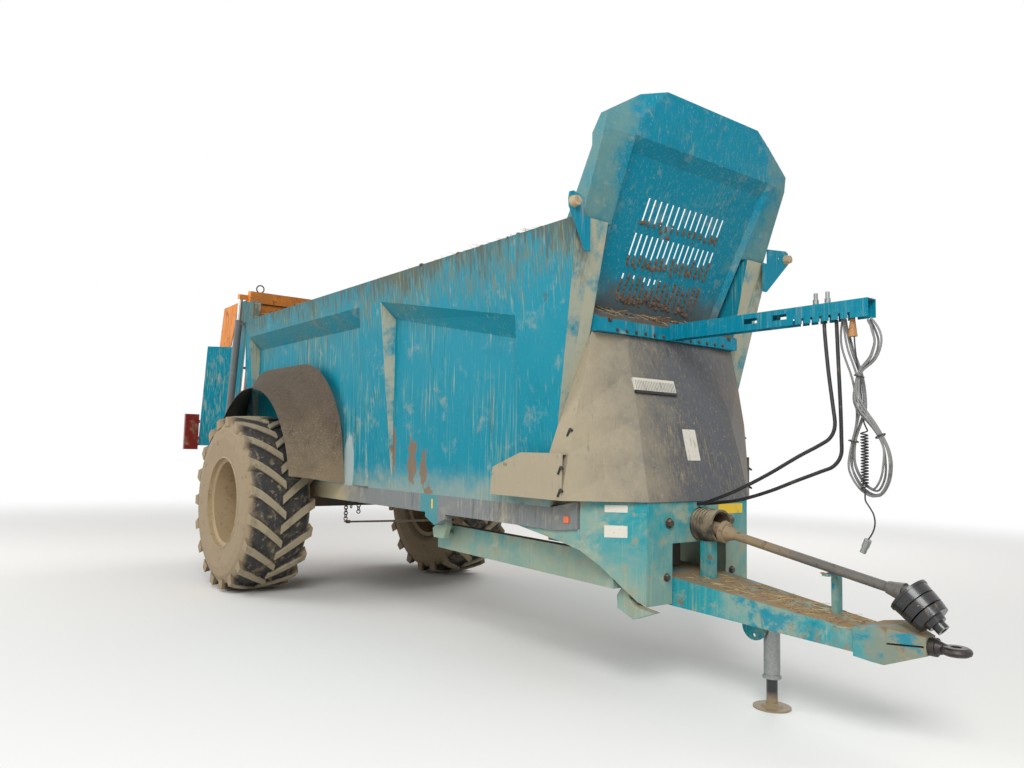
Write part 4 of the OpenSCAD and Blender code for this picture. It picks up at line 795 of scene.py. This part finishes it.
# Bare plates: name, finish, node, start of the line that finds the place, its direction, width, height and depth
PLATES = (
    ("cover_plate", "white", "front_cover", (FRONT, -0.262, 1.95), (-1, 0, 0), 0.40, 0.095, 0.014),
    ("tall_plate", "white", "front_cover", (FRONT, -0.008, 1.565), (-1, 0, 0), 0.13, 0.215, 0.003),
    ("front_label", "yellow", "drawbar_cheeks", (FRONT, 0.319, 1.137), (-1, 0, 0), 0.265, 0.066, 0.002),
    ("cheek_label_top", "white", "drawbar_cheeks", (5.022, -0.850, 1.150), (-0.73, 0.68, 0), 0.145, 0.045, 0.002),
    ("cheek_label_low", "white", "drawbar_cheeks", (5.022, -0.850, 1.008), (-0.73, 0.68, 0), 0.145, 0.075, 0.002),
    ("reflector", "amber", "sills", (4.546, -1.4, 1.068), (0, 1, 0), 0.048, 0.042, 0.008),
    ("side_strip", "yellow", "sills", (2.932, -1.4, 1.062), (0, 1, 0), 0.02, 0.075, 0.002))
# Dark bars on each side of the middle one of the wide plate, painted shade in the grooves between its ribs, and
# their pitch
SHADED_GROOVES, GROOVE_PITCH = 12, 0.0155


class SPREADER_OT_plates(bpy.types.Operator):
    """Add the bare plates, strips and the reflector"""
    bl_idname = "spreader.plates"
    bl_label = "Bare plates"

    def execute(self, context):
        for name, look, node, start, towards, width, height, depth in PLATES:
            at, out = on_face(node, spot(*start), towards)
            piece(name, plate(at, out, width, height, depth), look)
        # Dark bars that paint the shade in the grooves of the wide plate, and a black bar that paints the shadow
        # under its lower edge
        at, out = on_face("front_cover", spot(*PLATES[0][3]), PLATES[0][4])
        up = (Vector((0, 0, 1)) - out * out.z).normalized()
        across = up.cross(out)
        groove_shades, shadow_bar = bmesh.new(), bmesh.new()
        for i in range(-SHADED_GROOVES, SHADED_GROOVES + 1):
            middle = at + out * 0.014 + across * i * GROOVE_PITCH
            add_bar(groove_shades, middle - up * 0.038, middle + up * 0.028, 0.0024, sides=6)
        piece("cover_plate_ribs", groove_shades, "cover")
        # A black bar along the lower edge of the wide plate, which paints the shadow under it
        a, b = (at - up * 0.05 + across * side * 0.2 + out * 0.008 for side in (-1, 1))
        add_bar(shadow_bar, a, b, 0.012)
        piece("cover_plate_lip", shadow_bar, "hose")
        return {"FINISHED"}


# Bolts in pairs: node, Y and Z of the line that finds the place, and how many widths of a bolt across
BOLTS = (("drawbar_cheeks", 0.31, 1.06, 1.3), ("drawbar_cheeks", 0.33, 0.72, 1.0), ("hood_ledge", 0.62, 2.37, 0.7))
# Bolts on each side of the ledge, with the place of the first and the pitch
LEDGE_BOLTS, LEDGE_BOLT_Y, LEDGE_BOLT_PITCH = 6, 0.1, 0.09
# X and heights of the rubber straps that hold the cover
STRAP_X, STRAP_HEIGHTS = 4.62, (1.24, 1.38, 1.62)
# A place above the lifting ring of the gate
OVER_RING = spot(-1.075, -0.85, 4.0)


class SPREADER_OT_fasteners(bpy.types.Operator):
    """Add the bolts, the straps of the cover and the lifting ring of the gate"""
    bl_idname = "spreader.fasteners"
    bl_label = "Fasteners"

    def execute(self, context):
        width = context.scene.spreader_sizes.bolt
        shape = bmesh.new()
        for node, y, z, size in BOLTS:
            for side in (-1, 1):
                at, out = on_face(node, spot(FRONT, side * y, z), BACK)
                add_bolt(shape, at, out, width * size)
        for i in range(LEDGE_BOLTS):
            for side in (-1, 1):
                start = spot(FRONT, side * (LEDGE_BOLT_Y + LEDGE_BOLT_PITCH * i), 2.31)
                at, out = on_face("hood_ledge", start, BACK)
                if at is not None:
                    add_bolt(shape, at, out, width * 0.5)
        piece("bolts", shape, "steel")
        straps = bmesh.new()
        for side in (-1, 1):
            for z in STRAP_HEIGHTS:
                at, out = on_face("front_cover", spot(STRAP_X, side * 1.6, z), (0, -side, 0))
                foot, top, tail = (at + out * 0.004 + Vector((x, 0, up)) for x, up in
                                   ((-0.012, -0.02), (0.012, 0.026), (0.034, 0.012)))
                add_bar(straps, foot, top, 0.008, 8)
                add_bar(straps, top, tail, 0.008, 8)
        piece("cover_straps", straps, "hose")
        gate = body_of(NODES["gate"])[0]
        ring = bmesh.new()
        at, _ = on_face("gate", OVER_RING, DOWN)
        add_ring(ring, at + Vector((0, 0, 0.04)), (1, 0, -0.15), 0.045, 0.008)
        piece("lifting_ring", ring, "steel", body=gate)
        return {"FINISHED"}


# Ends of the brake rod, and the X and foot of each hanging chain
ROD_REAR, ROD_FRONT = spot(1.06, -0.64, 0.755), spot(2.96, -0.64, 0.93)
CHAINS = ((1.03, 0.77), (1.14, 0.9), (1.3, 0.86))


class SPREADER_OT_brake_rod(bpy.types.Operator):
    """Add the brake rod and the chains that hang under the floor"""
    bl_idname = "spreader.brake_rod"
    bl_label = "Brake rod"

    def execute(self, context):
        radius = context.scene.spreader_sizes.rod / 2
        shape = bmesh.new()
        add_bar(shape, ROD_REAR, ROD_FRONT, radius)
        add_bar(shape, ROD_REAR, ROD_REAR.lerp(ROD_FRONT, 0.03), radius * 1.8)
        for side in (-1, 1):
            a, b = (ROD_REAR + Vector((x, side * 0.012, 0)) for x in (-0.03, 0.01))
            add_bar(shape, a, b, radius * 0.7)
        piece("brake_rod", shape, "steel")
        chains = bmesh.new()
        for x, z in CHAINS:
            top, _ = on_face("floor", spot(x, -0.64, 1.0), UP)
            add_chain(chains, top, spot(x, -0.64, z), 0.005, 0.018)
        piece("hanging_chains", chains, "steel")
        return {"FINISHED"}


# Rows of slots in the hood: height of the foot, height of a slot, slots, pitch, and the share of it that is filled
SLOT_ROWS = ((2.575, 0.152, 16, 0.053, 1.1), (2.805, 0.178, 16, 0.054, 0.38), (3.05, 0.15, 14, 0.0595, 0.1))
# Y of the plain part of the hood beside its slots
BESIDE_SLOTS = 0.55
# Heights that straw falls from, over the machine and over the drawbar, which has the hoses above it
FALL, LOW_FALL = 3.6, 0.9
# Where straw lies: node, lowest and highest X and Y of its patch, blades and lumps
LITTER = (
    ("side_wall_right", 3.3, 4.46, -1.0, -0.86, 90, 26), ("side_wall_left", 3.3, 4.46, 0.86, 1.0, 60, 16),
    ("side_wall_right", -1.0, 3.3, -1.0, -0.86, 60, 60), ("side_wall_left", -1.0, 3.3, 0.86, 1.0, 60, 60),
    ("hood_ledge", 4.47, 4.62, -0.6, 0.6, 60, 60), ("drawbar", 4.97, 6.1, -0.16, 0.16, 130, 260),
    ("marker_brackets", 4.3, 4.7, -1.3, -0.9, 70, 30), ("marker_brackets", 4.3, 4.7, 0.9, 1.3, 110, 20),
    ("cross_members", -0.5, 4.0, -0.8, 0.8, 30, 0))


class SPREADER_OT_litter(bpy.types.Operator):
    """Add the dried manure in the slots and the straw on the ledges"""
    bl_idname = "spreader.litter"
    bl_label = "Straw and dried manure"

    def execute(self, context):
        chance = random.Random(11)
        clods, crumbs, straw = bmesh.new(), bmesh.new(), bmesh.new()
        for foot, high, count, pitch, filled in SLOT_ROWS:
            for i in range(count):
                y = (i - (count - 1) / 2) * pitch
                full = filled * chance.uniform(0.4, 1.2) + (0.1 if y > 0 else 0.0)
                z = foot
                while z < foot + high * min(1.0, full):
                    at, _ = on_face("hood", spot(6.0, BESIDE_SLOTS, z), BACK)
                    tall = chance.uniform(0.014, 0.03)
                    at = Vector((at.x - 0.006, y + chance.uniform(-0.003, 0.003), z))
                    add_clod(clods, chance, at, (0.016, 0.0135, tall))
                    z += tall
            for i in range(round(46 * min(1.0, filled + 0.1))):
                y = chance.uniform(-0.5, 0.5) * count * pitch
                z = foot + chance.gauss(-0.012, 0.02)
                at, _ = on_face("hood", spot(6.0, BESIDE_SLOTS, z), BACK)
                flat = chance.uniform(0.008, 0.026)
                add_clod(clods, chance, Vector((at.x, y, z)), (flat * 0.5, flat, flat * 0.8))
        for node, x0, x1, y0, y1, blades, lumps in LITTER:
            height = LOW_FALL if node == "drawbar" else FALL
            for i in range(blades + lumps):
                start = spot(chance.uniform(x0, x1), chance.uniform(y0, y1), height)
                at, out = on_face(node, start, DOWN)
                if at is None:
                    continue
                if i < blades:
                    add_blade(straw, chance, at, out, chance.uniform(0.04, 0.16), chance.uniform(0.0012, 0.0024))
                elif node == "drawbar":
                    flat = chance.uniform(0.004, 0.02)
                    add_clod(crumbs, chance, at, (flat * chance.uniform(0.7, 1.8), flat, min(flat * 0.45, 0.006)))
                else:
                    flat = chance.uniform(0.008, 0.026)
                    add_clod(clods, chance, at, (flat, flat, flat * 0.55))
        piece("dried_manure", clods, "clods")
        piece("dried_mud", crumbs, "crumbs")
        piece("straw", straw, "straw", smooth=False)
        return {"FINISHED"}


def seen_rays(tree):
    """1 for the rays that the camera sees straight, in a mirror or through glass."""
    rays = add(tree, "ShaderNodeLightPath").outputs
    straight = maths(tree, "MAXIMUM", rays["Is Camera Ray"], rays["Is Glossy Ray"])
    return maths(tree, "MAXIMUM", straight, rays["Is Transmission Ray"])


# Distances from the middle over which the floor turns white, and the light of the surroundings on the machine
WHITE_FROM, WHITE_TO = 7.5, 17.0
SKY_LEVEL = 0.52
# Lamps: name, place, what it looks at, power and width
LAMPS = (
    ("key_lamp", (9.0, -7.5, 8.5), (0.5, 0.0, 1.4), 1150.0, 6.0),
    ("side_lamp", (-7.0, -9.0, 6.0), (-1.5, 0.0, 1.2), 480.0, 6.0),
    ("back_lamp", (-3.0, 9.0, 8.0), (0.0, 0.0, 1.5), 480.0, 6.0))


class SPREADER_OT_stage(bpy.types.Operator):
    """Add the pale floor, the soft lamps and the pale surroundings"""
    bl_idname = "spreader.stage"
    bl_label = "Stage"

    def execute(self, context):
        scene = context.scene
        scene.view_settings.view_transform = "Standard"
        ground = bmesh.new()
        bmesh.ops.create_grid(ground, x_segments=1, y_segments=1, size=scene.spreader_sizes.stage / 2)
        mesh = bpy.data.meshes.new("studio_floor")
        ground.to_mesh(mesh)
        ground.free()
        floor = linked("studio_floor", mesh)
        material = bpy.data.materials.new("Studio floor")
        tree = bare_tree(material)
        place = add(tree, "ShaderNodeTexCoord").outputs["Object"]
        away = vectors(tree, "LENGTH", place)["Value"]
        seen = seen_rays(tree)
        white = maths(tree, "MULTIPLY", ramp(tree, away, WHITE_FROM, WHITE_TO), seen)
        matt = add(tree, "ShaderNodeBsdfDiffuse", {"Color": (0.82, 0.81, 0.79, 1.0)}).outputs[0]
        glow = add(tree, "ShaderNodeEmission", {"Color": (1.0, 1.0, 1.0, 1.0), "Strength": 1.0}).outputs[0]
        both = add(tree, "ShaderNodeMixShader", {0: white, 1: matt, 2: glow}).outputs[0]
        add(tree, "ShaderNodeOutputMaterial", {"Surface": both})
        mesh.materials.append(material)

        world = bpy.data.worlds.new("Studio")
        tree = bare_tree(world)
        level = maths(tree, "ADD", SKY_LEVEL, maths(tree, "MULTIPLY", seen_rays(tree), 1.0 - SKY_LEVEL))
        sky = add(tree, "ShaderNodeBackground", {"Color": (1.0, 1.0, 1.0, 1.0), "Strength": level}).outputs[0]
        add(tree, "ShaderNodeOutputWorld", {"Surface": sky})
        scene.world = world

        for name, at, aim, power, width in LAMPS:
            lamp = bpy.data.lights.new(name, "AREA")
            lamp.energy = power
            lamp.size = width
            linked(name, lamp).matrix_world = Matrix.Translation(at) @ turned(Vector(at) - Vector(aim))
        return {"FINISHED"}


class SPREADER_PT_panel(bpy.types.Panel):
    """Sizes, colours and pieces of the spreader"""
    bl_idname = "SPREADER_PT_panel"
    bl_label = "Manure spreader"
    bl_space_type = "VIEW_3D"
    bl_region_type = "UI"
    bl_category = "Spreader"

    def draw(self, context):
        for settings in (context.scene.spreader_colours, context.scene.spreader_sizes):
            column = self.layout.column()
            for name in settings.__annotations__:
                column.prop(settings, name)
        for operator in OPERATORS:
            self.layout.operator(operator.bl_idname)


OPERATORS = (SPREADER_OT_camera, SPREADER_OT_hoses, SPREADER_OT_curly_lead, SPREADER_OT_finishes,
             SPREADER_OT_plates, SPREADER_OT_fasteners, SPREADER_OT_brake_rod, SPREADER_OT_litter,
             SPREADER_OT_stage)
CLASSES = (SpreaderColours, SpreaderSizes, *OPERATORS, SPREADER_PT_panel)


def register():
    for cls in CLASSES:
        bpy.utils.register_class(cls)
    bpy.types.Scene.spreader_colours = bpy.props.PointerProperty(type=SpreaderColours)
    bpy.types.Scene.spreader_sizes = bpy.props.PointerProperty(type=SpreaderSizes)


def unregister():
    del bpy.types.Scene.spreader_sizes
    del bpy.types.Scene.spreader_colours
    for cls in reversed(CLASSES):
        bpy.utils.unregister_class(cls)


def main():
    register()
    GROUPS.update(make_groups())
    make_finishes()
    for operator in OPERATORS:
        group_name, _, call = operator.bl_idname.partition(".")
        getattr(getattr(bpy.ops, group_name), call)()
    bpy.context.view_layer.update()


if __name__ == "__main__":
    main()
